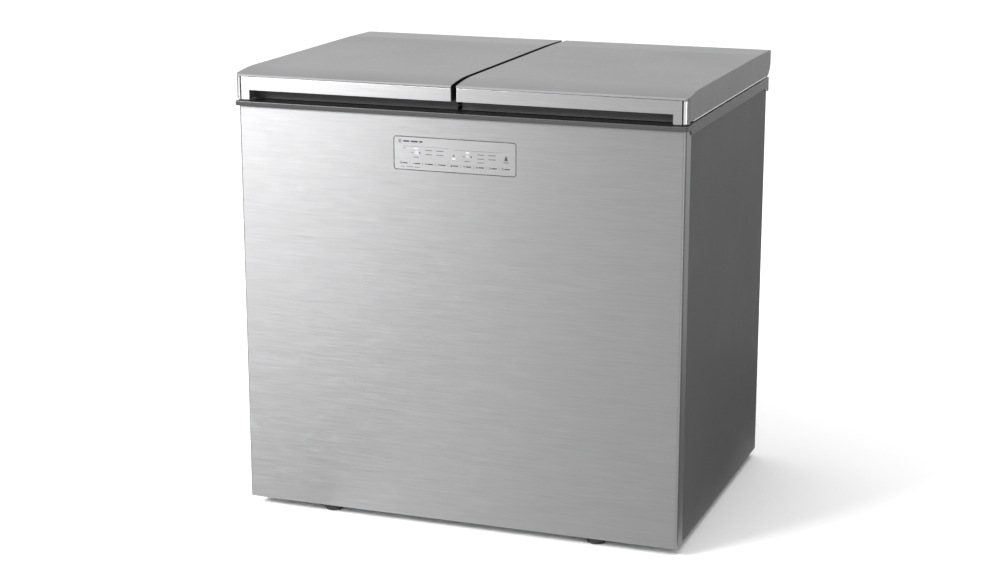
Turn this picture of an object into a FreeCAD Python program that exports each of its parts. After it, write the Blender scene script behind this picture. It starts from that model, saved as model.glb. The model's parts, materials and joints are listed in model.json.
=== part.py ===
import FreeCAD, Part
import math
import os

# Chest freezer with two side-by-side lids. Millimetres, +X right, +Y back, +Z up.
# The origin is on the floor, under the middle of the whole object's box.

V = FreeCAD.Vector

# Overall size
WIDTH = 930.0
DEPTH = 695.0
HEIGHT = 910.0
FRONT = -DEPTH / 2
BACK = DEPTH / 2

# Cabinet sheet metal
SHEET = 1.0
FLOOR_GAP = 18.0
PANEL_HALF = 460.0
PANEL_Y = FRONT + 8.0
PANEL_RETURN = 36.0
PANEL_BEND = 6.0
PANEL_TOP = 840.0
PANEL_LIP = 12.0
SIDE_HALF = 458.0
SIDE_FRONT = PANEL_Y + PANEL_RETURN + 7.0
SIDE_BACK = 325.0
SIDE_TOP = 846.0
JOGGLE_HALF = 450.0
FLANGE = 18.0
PAN_Z = FLOOR_GAP + SHEET + 0.2
PAN_SHEET = 1.2
PAN_TOP = PAN_Z + PAN_SHEET
PAN_HALF = 448.0
PAN_FRONT = PANEL_Y + 14.5
PAN_LIP = 12.0
BACK_PANEL_Y = SIDE_BACK - 2 * SHEET
BACK_PANEL_INSET = 2.0
TONGUE_FOLD = 4.0
ROLLER_CUT = (16.0, 24.0)
MOUNT_STUD_RADIUS = 4.0
MOUNT_STUD_TOP = 62.0
WELD_NUT_RADIUS = 8.5
WELD_NUT_HEIGHT = 9.0

# Machine compartment, the low space across the back
MACHINE_Y = 118.0
MACHINE_TOP = 330.0

# Two tubs, one each side of the middle
TUB_IN = 30.0
TUB_OUT = 400.0
TUB_FRONT = -285.0
TUB_BACK = 262.0
TUB_FLOOR = 85.0
STEP_Y = 66.0
STEP_TOP = 382.0
SHOULDER = 8.0
SHOULDER_Z = 800.0
TUB_RADIUS = 32.0
LINER = 1.2
LINER_FLANGE = 8.0
COIL_RADIUS = 4.0
COIL_SPACE = 4.6
COIL_LOWEST = 430.0
COIL_RISE = 60.0
COIL_PASSES = 6
COIL_REAR = TUB_BACK - 50.0

# Frame round the top of the cabinet
FRAME_TOP = 850.0
FRAME_PLATE = 3.0
FRAME_HALF = 462.0
LIP_HALF = 465.0
LIP_BOTTOM = 840.2
SKIRT_FRONT = -311.5
SKIRT_BACK = 330.0
SKIRT_BOTTOM = 829.0
TAB_BOTTOM = 821.0

# Lids
LID_IN = 5.0
LID_OUT = WIDTH / 2
LID_FRONT = -342.5
LID_BACK = 331.5
LID_BOTTOM = 855.0
LID_LEG_BOTTOM = 853.0
LID_SKIN = 3.0
NOSE_DROP = 7.5
NOSE_LENGTH = 90.0
BAND_DEPTH = 105.0
BAND_DROP = 2.2
COVER_LIP = 4.0
COVER_BEND = 3.0
LID_CORNER = 10.0
END_SKIN = 1.5
HEEL_RADIUS = 38.0
AXIS_RADIUS = 45.0
AXIS_Y = LID_BACK - AXIS_RADIUS
AXIS_Z = LID_BOTTOM + AXIS_RADIUS
COVER_LOW = HEIGHT - NOSE_DROP - COVER_LIP
TRIM_TOP = COVER_LOW - 0.6
TRIM_OUT = 452.0
STRIP_SWEEP = 33.0
CORNER_IN = 455.0
RECESS_OUT = 435.0
RECESS_BACK = -307.5
RECESS_TOP = 872.0
RECESS_WALL = 2.5
RECESS_LOW = FRAME_TOP + 1.2
LINER_PLATE = 857.0
PLUG_BOTTOM = 838.0
PLUG_GAP = 10.0
PLUG_CORNER = 26.0
GASKET_FRONT = TUB_FRONT - 16.0
GASKET_BACK = 279.5
GASKET_IN = TUB_IN - 17.0
GASKET_OUT = TUB_OUT + 19.0

# Lid hinges
HINGE_X = (75.0, 390.0)
PIN_RADIUS = 3.0
RUNNING_FIT = 0.05
KNUCKLE = 6.5
POCKET_HALF = 17.5
POCKET_TOP = 906.8
POCKET_FRONT = 281.0
LEAF_POCKET_FRONT = 222.0
LEAF_POCKET_LOW = 884.0
EAR_SHEET = 2.5
EAR_START = 11.5
BRACKET_FOOT_HALF = 22.0
BRACKET_FOOT_FRONT = 283.0
BRACKET_FOOT_BACK = 326.0
BRACKET_FOOT_SHEET = 2.0
LEAF_HALF = 15.5
LEAF_FRONT = 226.0
LEAF_BACK = 272.0
LEAF_LOW = 902.5
LEAF_HIGH = 905.0
LEAF_START = 8.5
PIN_HALF = 14.0
SPRING_WIRE = 0.9
SPRING_TURNS = 8

# Baskets
BASKET_IN = 46.0
BASKET_OUT = 384.0
BASKET_FRONT = 0.0
BASKET_BACK = 240.0
BASKET_BOTTOM = 640.0
BASKET_WALL = 2.5
RIM_Z = SHOULDER_Z + 0.3
RIM = 3.0
RIM_REACH = 10.0
BASKET_CORNER = 10.0
BASKET_FOOT = 4.0

# Control panel in the front
CONTROL_HALF = 127.0
CONTROL_BOTTOM = 732.0
CONTROL_TOP = 799.0
CONTROL_RADIUS = 6.0
OVERLAY_GAP = 0.4
OVERLAY_THICK = 1.5
HOUSING_FLANGE = 6.0
HOUSING_INSET = 4.0
HOUSING_DEPTH = 22.0
HOUSING_WALL = 2.0
BOARD_THICK = 1.6
KEY_COUNT = 9
KEY_PITCH = 24.0
LAMP_COUNT = 6
LAMP_PITCH = 30.0

# Feet and rollers
FOOT_X = 285.0
FOOT_Y = -305.0
FOOT_RADIUS = 18.5
FOOT_HEIGHT = 14.0
STUD_RADIUS = 5.0
STUD_TOP = 62.0
NECK_RADIUS = 9.0
ROLLER_X = 400.0
ROLLER_Y = 290.0
ROLLER_RADIUS = 15.0
ROLLER_HALF = 9.0
ROLLER_DISH = (6.0, 11.0, 3.0)
BRACKET_HALF = 13.0
BRACKET_LENGTH = 22.0
BRACKET_LOW = 8.0
BRACKET_TOP = 38.0
BRACKET_SHEET = 2.0

# Cooling machine
MACHINE_MID_Y = 222.0
COMPRESSOR_X = 270.0
COMPRESSOR_RADIUS = 84.0
SHELL_LOW = 46.0
SHELL_HIGH = 226.0
SHELL_SEAM = 120.0
STUB_REACH = 96.0
SUCTION_Y = MACHINE_MID_Y - 30.0
SUCTION_Z = 190.0
DISCHARGE_Y = MACHINE_MID_Y + 34.0
DISCHARGE_Z = 150.0
DISCHARGE_TOP = 262.0
LIQUID_Z = 34.0
DRIER_X = 96.0
DRIER_Y = 150.0
DRIER_RADIUS = 10.0
DRIER_LOW = 74.0
DRIER_HIGH = 160.0
PLATE_HALF_X = 110.0
PLATE_HALF_Y = 78.0
PLATE_LOW = 44.0
PLATE_HIGH = 47.0
GROMMET_X = 95.0
GROMMET_Y = 60.0
GROMMET_TOP = 52.0
CONDENSER_X = -285.0
CONDENSER_FRONT = 150.0
CONDENSER_REAR = 296.0
CONDENSER_LOWEST = 56.0
CONDENSER_RISE = 28.0
CONDENSER_PASSES = 7
CONDENSER_RADIUS = 4.0
FIN_COUNT = 16
FIN_PITCH = 8.4
FIN_SHEET = 0.8
FIN_HALF = 30.0
FIN_LOW = 40.0
FIN_HIGH = 240.0
FAN_X = -236.0
FAN_Z = 140.0
FAN_RADIUS = 70.0
FAN_FRAME_HALF = 86.0
FAN_FRAME_DEPTH = 25.0
FAN_BLADES = 5
FAN_HUB = 18.0
FAN_SHAFT = 2.5
MOTOR_RADIUS = 24.0
BOX_LEFT = -448.0
BOX_RIGHT = -352.0
BOX_FRONT = 140.0
BOX_REAR = 300.0
BOX_LOW = 120.0
BOX_HIGH = 290.0
BOX_WALL = 3.0
COVER_HALF = 452.0
COVER_FACE = SIDE_BACK + 0.2
COVER_SHEET = 2.0
COVER_LOW_Z = FLOOR_GAP + 6.0
COVER_HIGH_Z = MACHINE_TOP + 15.0
VENT_CENTRES = (-250.0, 250.0)
VENT_LEVELS = (80.0, 180.0)
VENT_COUNT = 15
VENT_PITCH = 18.0
VENT_WIDTH = 6.0
VENT_HEIGHT = 78.0
COVER_SCREW_X = (-445.0, -150.0, 150.0, 445.0)
COVER_SCREW_Z = (40.0, 332.0)
SPACER_X = 330.0
SPACER_HALF = 14.0
SPACER_HIGH_Z = 770.0
SPACER_LOW_Z = 296.0
HINGE_SCREW_OFFSET = 18.0
HINGE_SCREW_Y = 312.0
GLAND_X = -380.0
GLAND_Z = 50.0
GLAND_RADIUS = 8.8
LEAD_RADIUS = 4.2


def box(x0, x1, y0, y1, z0, z1):
    """Block between two corners."""
    return Part.makeBox(x1 - x0, y1 - y0, z1 - z0, V(x0, y0, z0))


def rod(start, end, radius):
    """Cylinder between two points."""
    line = V(*end) - V(*start)
    return Part.makeCylinder(radius, line.Length, V(*start), line)


def mirrored(shape):
    """The same piece on the other side of the middle."""
    return shape.mirror(V(0, 0, 0), V(1, 0, 0))


def fuse(pieces):
    """One solid out of pieces that touch or overlap."""
    return pieces[0].multiFuse(pieces[1:]).removeSplitter()


def edges_along(shape, axis, where=None):
    """Straight edges parallel to an axis; where picks them by their middle point."""
    found = []
    for edge in shape.Edges:
        if not isinstance(edge.Curve, Part.Line):
            continue
        direction = edge.Vertexes[-1].Point - edge.Vertexes[0].Point
        if direction.Length < 1e-6:
            continue
        direction.normalize()
        if abs(abs(direction.dot(axis)) - 1) > 1e-6:
            continue
        if where is None or where(edge.CenterOfMass):
            found.append(edge)
    return found


def round_box(x0, x1, y0, y1, z0, z1, radius, axis=V(0, 0, 1)):
    """Block whose four edges along an axis are rounded."""
    block = box(x0, x1, y0, y1, z0, z1)
    return block.makeFillet(radius, edges_along(block, axis))


def prism_x(points, x0, x1):
    """Polygon of (y, z) points, drawn out along X."""
    wire = Part.makePolygon([V(x0, y, z) for y, z in points + points[:1]])
    return Part.Face(wire).extrude(V(x1 - x0, 0, 0))


def tube(points, radius, bend):
    """Round tube along straight runs that are joined by tangent arcs."""
    points = [V(*p) for p in points]
    edges = []
    last = points[0]
    for before, corner, after in zip(points, points[1:], points[2:]):
        u = (before - corner).normalize()
        w = (after - corner).normalize()
        half = u.getAngle(w) / 2
        reach = bend / math.tan(half)
        start = corner + u * reach
        end = corner + w * reach
        inward = (u + w).normalize()
        middle = corner + inward * (bend / math.sin(half) - bend)
        edges.append(Part.LineSegment(last, start).toShape())
        edges.append(Part.Arc(start, middle, end).toShape())
        last = end
    edges.append(Part.LineSegment(last, points[-1]).toShape())
    path = Part.Wire(edges)
    section = Part.Wire(Part.makeCircle(radius, points[0], points[1] - points[0]))
    return path.makePipeShell([section], True, False)


def save(name, *solids):
    """Write one node. Separate solids of the same kind share it."""
    whole = solids[0] if len(solids) == 1 else Part.makeCompound(list(solids))
    for solid in whole.Solids:
        if not solid.isValid() or solid.Volume <= 0:
            raise ValueError(name + " has a bad solid")
    whole.exportStep("parts/" + name + ".step")
    print(name, len(whole.Solids), round(whole.Volume / 1000, 1), "cm3")


# ---------------------------------------------------------------- cabinet


def front_panel():
    """Folded front sheet with returns round both corners and a window for the controls."""
    rear = PANEL_Y + PANEL_RETURN
    outer = box(-PANEL_HALF, PANEL_HALF, PANEL_Y, rear, FLOOR_GAP, PANEL_TOP)
    corners = edges_along(outer, V(0, 0, 1), lambda c: c.y < PANEL_Y + 1)
    outer = outer.makeFillet(PANEL_BEND, corners)
    inside = box(-PANEL_HALF + SHEET, PANEL_HALF - SHEET, PANEL_Y + SHEET, rear + 1,
                 FLOOR_GAP + SHEET, PANEL_TOP - SHEET)
    corners = edges_along(inside, V(0, 0, 1), lambda c: c.y < PANEL_Y + 2)
    inside = inside.makeFillet(PANEL_BEND - SHEET, corners)
    relief = box(-PANEL_HALF + SHEET, PANEL_HALF - SHEET, PANEL_Y + PANEL_LIP, rear + 1,
                 FLOOR_GAP - 1, PANEL_TOP + 1)
    window = round_box(-CONTROL_HALF, CONTROL_HALF, PANEL_Y - 1, PANEL_Y + SHEET + 1,
                       CONTROL_BOTTOM, CONTROL_TOP, CONTROL_RADIUS, V(0, 1, 0))
    return outer.cut(inside).cut(relief).cut(window)


def right_side_panel():
    """Side sheet, joggled in behind the front panel's return and flanged at the back."""
    face = box(SIDE_HALF - SHEET, SIDE_HALF, SIDE_FRONT, SIDE_BACK, FLOOR_GAP, SIDE_TOP)
    step = box(JOGGLE_HALF, SIDE_HALF, SIDE_FRONT, SIDE_FRONT + SHEET, FLOOR_GAP, SIDE_TOP)
    tongue = box(JOGGLE_HALF, JOGGLE_HALF + SHEET, PANEL_Y + PANEL_LIP, SIDE_FRONT + SHEET,
                 FLOOR_GAP, PANEL_TOP - SHEET)
    rear = box(SIDE_HALF - FLANGE, SIDE_HALF, SIDE_BACK - SHEET, SIDE_BACK, FLOOR_GAP, SIDE_TOP)
    bottom = box(JOGGLE_HALF - TONGUE_FOLD, SIDE_HALF, SIDE_FRONT, SIDE_BACK, FLOOR_GAP,
                 FLOOR_GAP + SHEET)
    return fuse([face, step, tongue, rear, bottom])


def back_panel():
    """Flat sheet over the insulation above the machine compartment."""
    half = SIDE_HALF - BACK_PANEL_INSET
    return box(-half, half, BACK_PANEL_Y, BACK_PANEL_Y + SHEET, MACHINE_TOP + 1.5, SIDE_TOP)


def base_pan():
    """Bottom tray with turned-up edges, roller cut-outs, weld nuts and compressor studs."""
    rear = BACK_PANEL_Y - 1
    floor = box(-PAN_HALF, PAN_HALF, PAN_FRONT, rear, PAN_Z, PAN_TOP)
    front = box(-PAN_HALF, PAN_HALF, PAN_FRONT, PAN_FRONT + PAN_SHEET, PAN_Z, PAN_TOP + PAN_LIP)
    side = box(PAN_HALF - PAN_SHEET, PAN_HALF, PAN_FRONT, MACHINE_Y - 1, PAN_Z, PAN_TOP + PAN_LIP)
    pan = fuse([floor, front, side, mirrored(side)])
    for side in (-1, 1):
        pan = pan.cut(rod((side * FOOT_X, FOOT_Y, PAN_Z - 1), (side * FOOT_X, FOOT_Y, PAN_TOP + 1),
                          STUD_RADIUS + 0.4))
        cut_x, cut_y = ROLLER_CUT
        pan = pan.cut(box(side * ROLLER_X - cut_x, side * ROLLER_X + cut_x, ROLLER_Y - cut_y,
                          ROLLER_Y + cut_y, PAN_Z - 1, PAN_TOP + 1))
    studs = [rod((x, y, PAN_TOP - 0.5), (x, y, MOUNT_STUD_TOP), MOUNT_STUD_RADIUS)
             for x, y in grommet_places()]
    return fuse([pan] + foot_nuts() + studs)


def machine_bulkhead():
    """Stepped sheet that is the front wall and the roof of the machine compartment."""
    half = SIDE_HALF - SHEET - 0.2
    wall = box(-half, half, MACHINE_Y, MACHINE_Y + PAN_SHEET, PAN_TOP, MACHINE_TOP + PAN_SHEET)
    roof = box(-half, half, MACHINE_Y, BACK_PANEL_Y - 1, MACHINE_TOP, MACHINE_TOP + PAN_SHEET)
    return fuse([wall, roof])


def tub(grow):
    """Inside of the right tub, grown outwards: stepped over the machine, shouldered at the top."""
    x0 = TUB_IN + SHOULDER - grow
    x1 = TUB_OUT - SHOULDER + grow
    y0 = TUB_FRONT + SHOULDER - grow
    y1 = TUB_BACK - SHOULDER + grow
    radius = TUB_RADIUS + grow
    deep = box(x0, x1, y0, STEP_Y + grow, TUB_FLOOR - grow, SHOULDER_Z)
    deep = deep.makeFillet(radius, edges_along(deep, V(0, 0, 1)))
    shallow = box(x0, x1, y0, y1, STEP_TOP - grow, SHOULDER_Z)
    shallow = shallow.makeFillet(radius, edges_along(shallow, V(0, 0, 1)))
    mouth = round_box(TUB_IN - grow, TUB_OUT + grow, TUB_FRONT - grow, TUB_BACK + grow,
                      SHOULDER_Z - grow, FRAME_TOP - FRAME_PLATE, radius + SHOULDER)
    return fuse([deep, shallow, mouth])


def liner():
    """Sheet liner of the right tub with a flange under the top frame."""
    top = FRAME_TOP - FRAME_PLATE
    flange = round_box(TUB_IN - LINER_FLANGE, TUB_OUT + LINER_FLANGE, TUB_FRONT - LINER_FLANGE,
                       TUB_BACK + LINER_FLANGE, top - LINER, top, TUB_RADIUS + 2 * SHOULDER)
    return fuse([tub(LINER), flange]).cut(tub(0))


def evaporator_levels():
    """Heights of the passes of the evaporator tube round a tub."""
    return [COIL_LOWEST + COIL_RISE * i for i in range(COIL_PASSES)]


def evaporator():
    """One tube that goes round three sides of the right tub and doubles back at each level."""
    gap = LINER + COIL_SPACE
    x0 = TUB_IN + SHOULDER - gap
    x1 = TUB_OUT - SHOULDER + gap
    y0 = TUB_FRONT + SHOULDER - gap
    rear = COIL_REAR
    bend = TUB_RADIUS + gap
    edges = []
    levels = evaporator_levels()
    slant = math.sqrt(0.5)
    for i, z in enumerate(levels):
        xs = (x0, x1) if i % 2 == 0 else (x1, x0)
        turn = 1 if i % 2 == 0 else -1
        corners = [(xs[0] + turn * bend, xs[0]), (xs[1] - turn * bend, xs[1])]
        first = V(xs[0], y0 + bend, z)
        front_a = V(corners[0][0], y0, z)
        front_b = V(corners[1][0], y0, z)
        last = V(xs[1], y0 + bend, z)
        mid_a = V(corners[0][0] - turn * bend * slant, y0 + bend - bend * slant, z)
        mid_b = V(corners[1][0] + turn * bend * slant, y0 + bend - bend * slant, z)
        edges.append(Part.LineSegment(V(xs[0], rear, z), first).toShape())
        edges.append(Part.Arc(first, mid_a, front_a).toShape())
        edges.append(Part.LineSegment(front_a, front_b).toShape())
        edges.append(Part.Arc(front_b, mid_b, last).toShape())
        edges.append(Part.LineSegment(last, V(xs[1], rear, z)).toShape())
        if i + 1 < len(levels):
            half = (levels[i + 1] - z) / 2
            middle = V(xs[1], rear + half, z + half)
            above = V(xs[1], rear, levels[i + 1])
            edges.append(Part.Arc(V(xs[1], rear, z), middle, above).toShape())
    section = Part.Wire(Part.makeCircle(COIL_RADIUS, V(x0, rear, levels[0]), V(0, -1, 0)))
    return Part.Wire(edges).makePipeShell([section], True, False)


def evaporator_grooves():
    """Channels in the insulation that the evaporator tube lies in."""
    half = COIL_SPACE
    reach = LINER + 2 * half + 0.4
    pieces = []
    for z in evaporator_levels():
        outer = round_box(TUB_IN + SHOULDER - reach, TUB_OUT - SHOULDER + reach,
                          TUB_FRONT + SHOULDER - reach, TUB_BACK - SHOULDER, z - half, z + half,
                          TUB_RADIUS + reach)
        pieces.append(outer)
    low = evaporator_levels()[0]
    high = evaporator_levels()[-1]
    for x in (TUB_IN + SHOULDER - reach, TUB_OUT - SHOULDER):
        pieces.append(box(x, x + reach, TUB_BACK - 60, TUB_BACK - 12, low - half, high + half))
    return pieces


def insulation(neighbours):
    """Foam poured between the cabinet and the liners, less everything set into it."""
    half = SIDE_HALF - SHEET
    top = FRAME_TOP - FRAME_PLATE
    body = box(-half, half, SIDE_FRONT + SHEET, BACK_PANEL_Y, PAN_TOP, top)
    nose = box(-JOGGLE_HALF, JOGGLE_HALF, PANEL_Y + SHEET, SIDE_FRONT + SHEET, PAN_TOP, top)
    foam = fuse([body, nose])
    foam = foam.cut(box(-half - 1, half + 1, MACHINE_Y, BACK, PAN_TOP - 1, MACHINE_TOP + PAN_SHEET))
    for shape in [tub(LINER)] + evaporator_grooves():
        foam = foam.cut(shape)
        foam = foam.cut(mirrored(shape))
    for side in (-1, 1):
        foam = foam.cut(rod((side * FOOT_X, FOOT_Y, PAN_TOP - 1),
                            (side * FOOT_X, FOOT_Y, STUD_TOP + 4), STUD_RADIUS + 4))
    for shape in neighbours + display_spaces():
        foam = foam.cut(shape)
    return foam


def top_frame():
    """Plastic frame over the cabinet's top edge, open over both tubs."""
    plate = box(-FRAME_HALF, FRAME_HALF, PANEL_Y + 1, SKIRT_BACK, FRAME_TOP - FRAME_PLATE,
                FRAME_TOP)
    lip = box(-LIP_HALF, LIP_HALF, FRONT, SKIRT_FRONT, LIP_BOTTOM, FRAME_TOP)
    lip = lip.cut(box(-PANEL_HALF, PANEL_HALF, PANEL_Y + 2, SKIRT_FRONT + 1, LIP_BOTTOM - 1,
                      FRAME_TOP - FRAME_PLATE))
    lip = lip.makeFillet(5, edges_along(lip, V(0, 0, 1), lambda c: c.y < FRONT + 1))
    lip = lip.makeFillet(2, edges_along(lip, V(1, 0, 0), lambda c: c.y < FRONT + 1))
    wall = box(PANEL_HALF + 0.2, FRAME_HALF, SKIRT_FRONT, SKIRT_BACK, SKIRT_BOTTOM, FRAME_TOP)
    wall = wall.cut(prism_x([(SKIRT_FRONT - 1, SKIRT_BOTTOM - 1), (SKIRT_FRONT + 7, SKIRT_BOTTOM - 1),
                             (SKIRT_FRONT - 1, SKIRT_BOTTOM + 10)], SIDE_HALF, FRAME_HALF + 1))
    tab = box(PANEL_HALF + 0.2, FRAME_HALF, SKIRT_BACK - 12, SKIRT_BACK, TAB_BOTTOM, FRAME_TOP)
    rear = box(-FRAME_HALF, FRAME_HALF, SIDE_BACK + 0.5, SKIRT_BACK, SKIRT_BOTTOM, FRAME_TOP)
    side = fuse([wall, tab])
    frame = fuse([plate, lip, side, mirrored(side), rear])
    mouth = round_box(TUB_IN, TUB_OUT, TUB_FRONT, TUB_BACK, FRAME_TOP - 20, FRAME_TOP + 1,
                      TUB_RADIUS + SHOULDER)
    return frame.cut(mouth).cut(mirrored(mouth))


# ---------------------------------------------------------------- control panel


def control_overlay():
    """Thin cover plate set into the front panel's window."""
    gap = OVERLAY_GAP
    y0 = PANEL_Y + 0.2
    return round_box(-CONTROL_HALF + gap, CONTROL_HALF - gap, y0, y0 + OVERLAY_THICK,
                     CONTROL_BOTTOM + gap, CONTROL_TOP - gap, CONTROL_RADIUS - gap, V(0, 1, 0))


def display_spaces():
    """Outer shape of the display housing, from the front sheet back: its flange and its case."""
    y0 = PANEL_Y + SHEET
    grow = HOUSING_FLANGE
    flange = box(-CONTROL_HALF - grow, CONTROL_HALF + grow, y0, y0 + HOUSING_WALL + 0.8,
                 CONTROL_BOTTOM - grow, CONTROL_TOP + grow)
    inset = HOUSING_INSET
    case = box(-CONTROL_HALF + inset, CONTROL_HALF - inset, y0, y0 + HOUSING_DEPTH + 0.8,
               CONTROL_BOTTOM + inset, CONTROL_TOP - inset)
    return [flange, case]


def display_housing():
    """Open-fronted box behind the cover plate, with a flange behind the front sheet."""
    y0 = PANEL_Y + SHEET + 0.8
    inset = HOUSING_INSET + HOUSING_WALL
    inside = box(-CONTROL_HALF + inset, CONTROL_HALF - inset, y0 - 1,
                 y0 + HOUSING_DEPTH - HOUSING_WALL, CONTROL_BOTTOM + inset, CONTROL_TOP - inset)
    behind_plate = box(-PANEL_HALF, PANEL_HALF, PANEL_Y, y0, CONTROL_BOTTOM - HOUSING_FLANGE - 1,
                       CONTROL_TOP + HOUSING_FLANGE + 1)
    return fuse(display_spaces()).cut(inside).cut(behind_plate)


def display_board():
    """Circuit board with rows of lamps and touch pads."""
    y0 = PANEL_Y + 8
    inset = HOUSING_INSET + HOUSING_WALL + 1
    pieces = [box(-CONTROL_HALF + inset, CONTROL_HALF - inset, y0, y0 + BOARD_THICK,
                  CONTROL_BOTTOM + inset, CONTROL_TOP - inset)]
    for i in range(KEY_COUNT):
        x = KEY_PITCH * (i - (KEY_COUNT - 1) / 2)
        pieces.append(box(x - 5, x + 5, y0 - 1.5, y0, CONTROL_BOTTOM + 11, CONTROL_BOTTOM + 21))
    for i in range(LAMP_COUNT):
        x = LAMP_PITCH * (i - (LAMP_COUNT - 1) / 2)
        pieces.append(box(x - 2, x + 2, y0 - 1.2, y0, CONTROL_TOP - 28, CONTROL_TOP - 24))
    return fuse(pieces)


# ---------------------------------------------------------------- machine compartment


def compressor_shell():
    """Welded hermetic shell on its mounting plate, with three pipe stubs."""
    r = COMPRESSOR_RADIUS
    axis = V(COMPRESSOR_X, MACHINE_MID_Y, 0)
    low = SHELL_LOW
    high = SHELL_HIGH
    seam = SHELL_SEAM

    def at(radius, z):
        return V(COMPRESSOR_X + radius, MACHINE_MID_Y, z)

    edges = [
        Part.LineSegment(at(0, low), at(0, high)).toShape(),
        Part.Arc(at(0, high), at(r * 0.72, high - 17), at(r - 3, high - 50)).toShape(),
        Part.LineSegment(at(r - 3, high - 50), at(r - 3, seam + 5)).toShape(),
        Part.LineSegment(at(r - 3, seam + 5), at(r + 2, seam + 3)).toShape(),
        Part.LineSegment(at(r + 2, seam + 3), at(r + 2, seam - 3)).toShape(),
        Part.LineSegment(at(r + 2, seam - 3), at(r, seam - 5)).toShape(),
        Part.LineSegment(at(r, seam - 5), at(r, low + 34)).toShape(),
        Part.Arc(at(r, low + 34), at(r * 0.78, low + 9), at(0, low)).toShape(),
    ]
    shell = Part.Face(Part.Wire(edges)).revolve(axis, V(0, 0, 1), 360)
    plate = round_box(COMPRESSOR_X - PLATE_HALF_X, COMPRESSOR_X + PLATE_HALF_X,
                      MACHINE_MID_Y - PLATE_HALF_Y, MACHINE_MID_Y + PLATE_HALF_Y, PLATE_LOW,
                      PLATE_HIGH, 14)
    for x, y in grommet_places():
        plate = plate.cut(rod((x, y, PLATE_LOW - 1), (x, y, PLATE_HIGH + 1), 8.0))
    stubs = []
    for side, y, z, radius in ((-1, SUCTION_Y, SUCTION_Z, 5.0), (-1, DISCHARGE_Y, DISCHARGE_Z, 4.0),
                               (1, SUCTION_Y, SUCTION_Z, 4.0)):
        start = COMPRESSOR_X + side * 60
        end = COMPRESSOR_X + side * STUB_REACH
        stubs.append(rod((start, y, z), (end, y, z), radius))
    return fuse([shell, plate] + stubs)


def grommet_places():
    """The four fixing points of the compressor."""
    return [(COMPRESSOR_X + i * GROMMET_X, MACHINE_MID_Y + j * GROMMET_Y)
            for i in (-1, 1) for j in (-1, 1)]


def compressor_grommets():
    """Waisted rubber mounts under the mounting plate."""
    grommets = []
    for x, y in grommet_places():
        foot = rod((x, y, PAN_TOP), (x, y, PLATE_LOW - 0.2), 12)
        neck = rod((x, y, PLATE_LOW - 1), (x, y, PLATE_HIGH + 1), 7.8)
        cap = rod((x, y, PLATE_HIGH + 0.2), (x, y, GROMMET_TOP), 11)
        bore = rod((x, y, PAN_TOP - 1), (x, y, GROMMET_TOP + 1), MOUNT_STUD_RADIUS + 0.2)
        grommets.append(fuse([foot, neck, cap]).cut(bore))
    return grommets


def compressor_nut(x, y):
    """Nut over one grommet, on its weld stud."""
    low = GROMMET_TOP + 0.2
    high = GROMMET_TOP + 6.0
    return rod((x, y, low), (x, y, high), 7).cut(rod((x, y, low - 1), (x, y, high + 1),
                                                     MOUNT_STUD_RADIUS))


def terminal_cover(shell):
    """Cover of the start relay on the compressor's left side."""
    cover = round_box(COMPRESSOR_X - 108, COMPRESSOR_X - 60, MACHINE_MID_Y - 10,
                      MACHINE_MID_Y + 22, 76, 138, 4)
    cover = cover.cut(rod((COMPRESSOR_X, MACHINE_MID_Y, 40), (COMPRESSOR_X, MACHINE_MID_Y, 240),
                          COMPRESSOR_RADIUS + 2.3))
    return cover


def condenser_rows():
    """Heights of the condenser tube's passes."""
    return [CONDENSER_LOWEST + CONDENSER_RISE * i for i in range(CONDENSER_PASSES)]


def condenser_tube():
    """Serpentine tube of the condenser."""
    front = CONDENSER_FRONT
    rear = CONDENSER_REAR
    rows = condenser_rows()
    edges = []
    for i, z in enumerate(rows):
        a, b = (front, rear) if i % 2 == 0 else (rear, front)
        edges.append(Part.LineSegment(V(CONDENSER_X, a, z), V(CONDENSER_X, b, z)).toShape())
        if i + 1 < len(rows):
            half = (rows[i + 1] - z) / 2
            out = half if b == rear else -half
            edges.append(Part.Arc(V(CONDENSER_X, b, z), V(CONDENSER_X, b + out, z + half),
                                  V(CONDENSER_X, b, rows[i + 1])).toShape())
    section = Part.Wire(Part.makeCircle(CONDENSER_RADIUS, V(CONDENSER_X, front, rows[0]),
                                        V(0, 1, 0)))
    return Part.Wire(edges).makePipeShell([section], True, False)


def condenser_fins():
    """Plates that the condenser tube passes through."""
    fins = []
    for i in range(FIN_COUNT):
        y = CONDENSER_FRONT + 10 + FIN_PITCH * i
        fin = box(CONDENSER_X - FIN_HALF, CONDENSER_X + FIN_HALF, y, y + FIN_SHEET, FIN_LOW,
                  FIN_HIGH)
        holes = [rod((CONDENSER_X, y - 1, z), (CONDENSER_X, y + 2, z), CONDENSER_RADIUS + 0.05)
                 for z in condenser_rows()]
        fins.append(fin.cut(Part.makeCompound(holes)))
    return fins


def fan_shroud():
    """Square frame round the fan, with three arms that carry the motor."""
    y, z = MACHINE_MID_Y, FAN_Z
    half = FAN_FRAME_HALF
    arm_start = FAN_X + FAN_FRAME_DEPTH - 3
    arm_end = FAN_X + FAN_FRAME_DEPTH + 2
    ring = box(FAN_X, FAN_X + FAN_FRAME_DEPTH, y - half, y + half, z - half, z + half)
    ring = ring.makeFillet(12, edges_along(ring, V(1, 0, 0)))
    hole = rod((FAN_X - 1, y, z), (arm_end, y, z), FAN_RADIUS + 5)
    arms = []
    for angle in (90, 210, 330):
        arm = box(arm_start, arm_end, y + 20, y + FAN_RADIUS + 9, z - 5, z + 5)
        arm.rotate(V(0, y, z), V(1, 0, 0), angle)
        arms.append(arm)
    boss = rod((arm_start, y, z), (arm_end, y, z), MOTOR_RADIUS + 1)
    boss = boss.cut(rod((arm_start - 1, y, z), (arm_end + 1, y, z), 10))
    return fuse([ring.cut(hole), boss] + arms)


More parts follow.
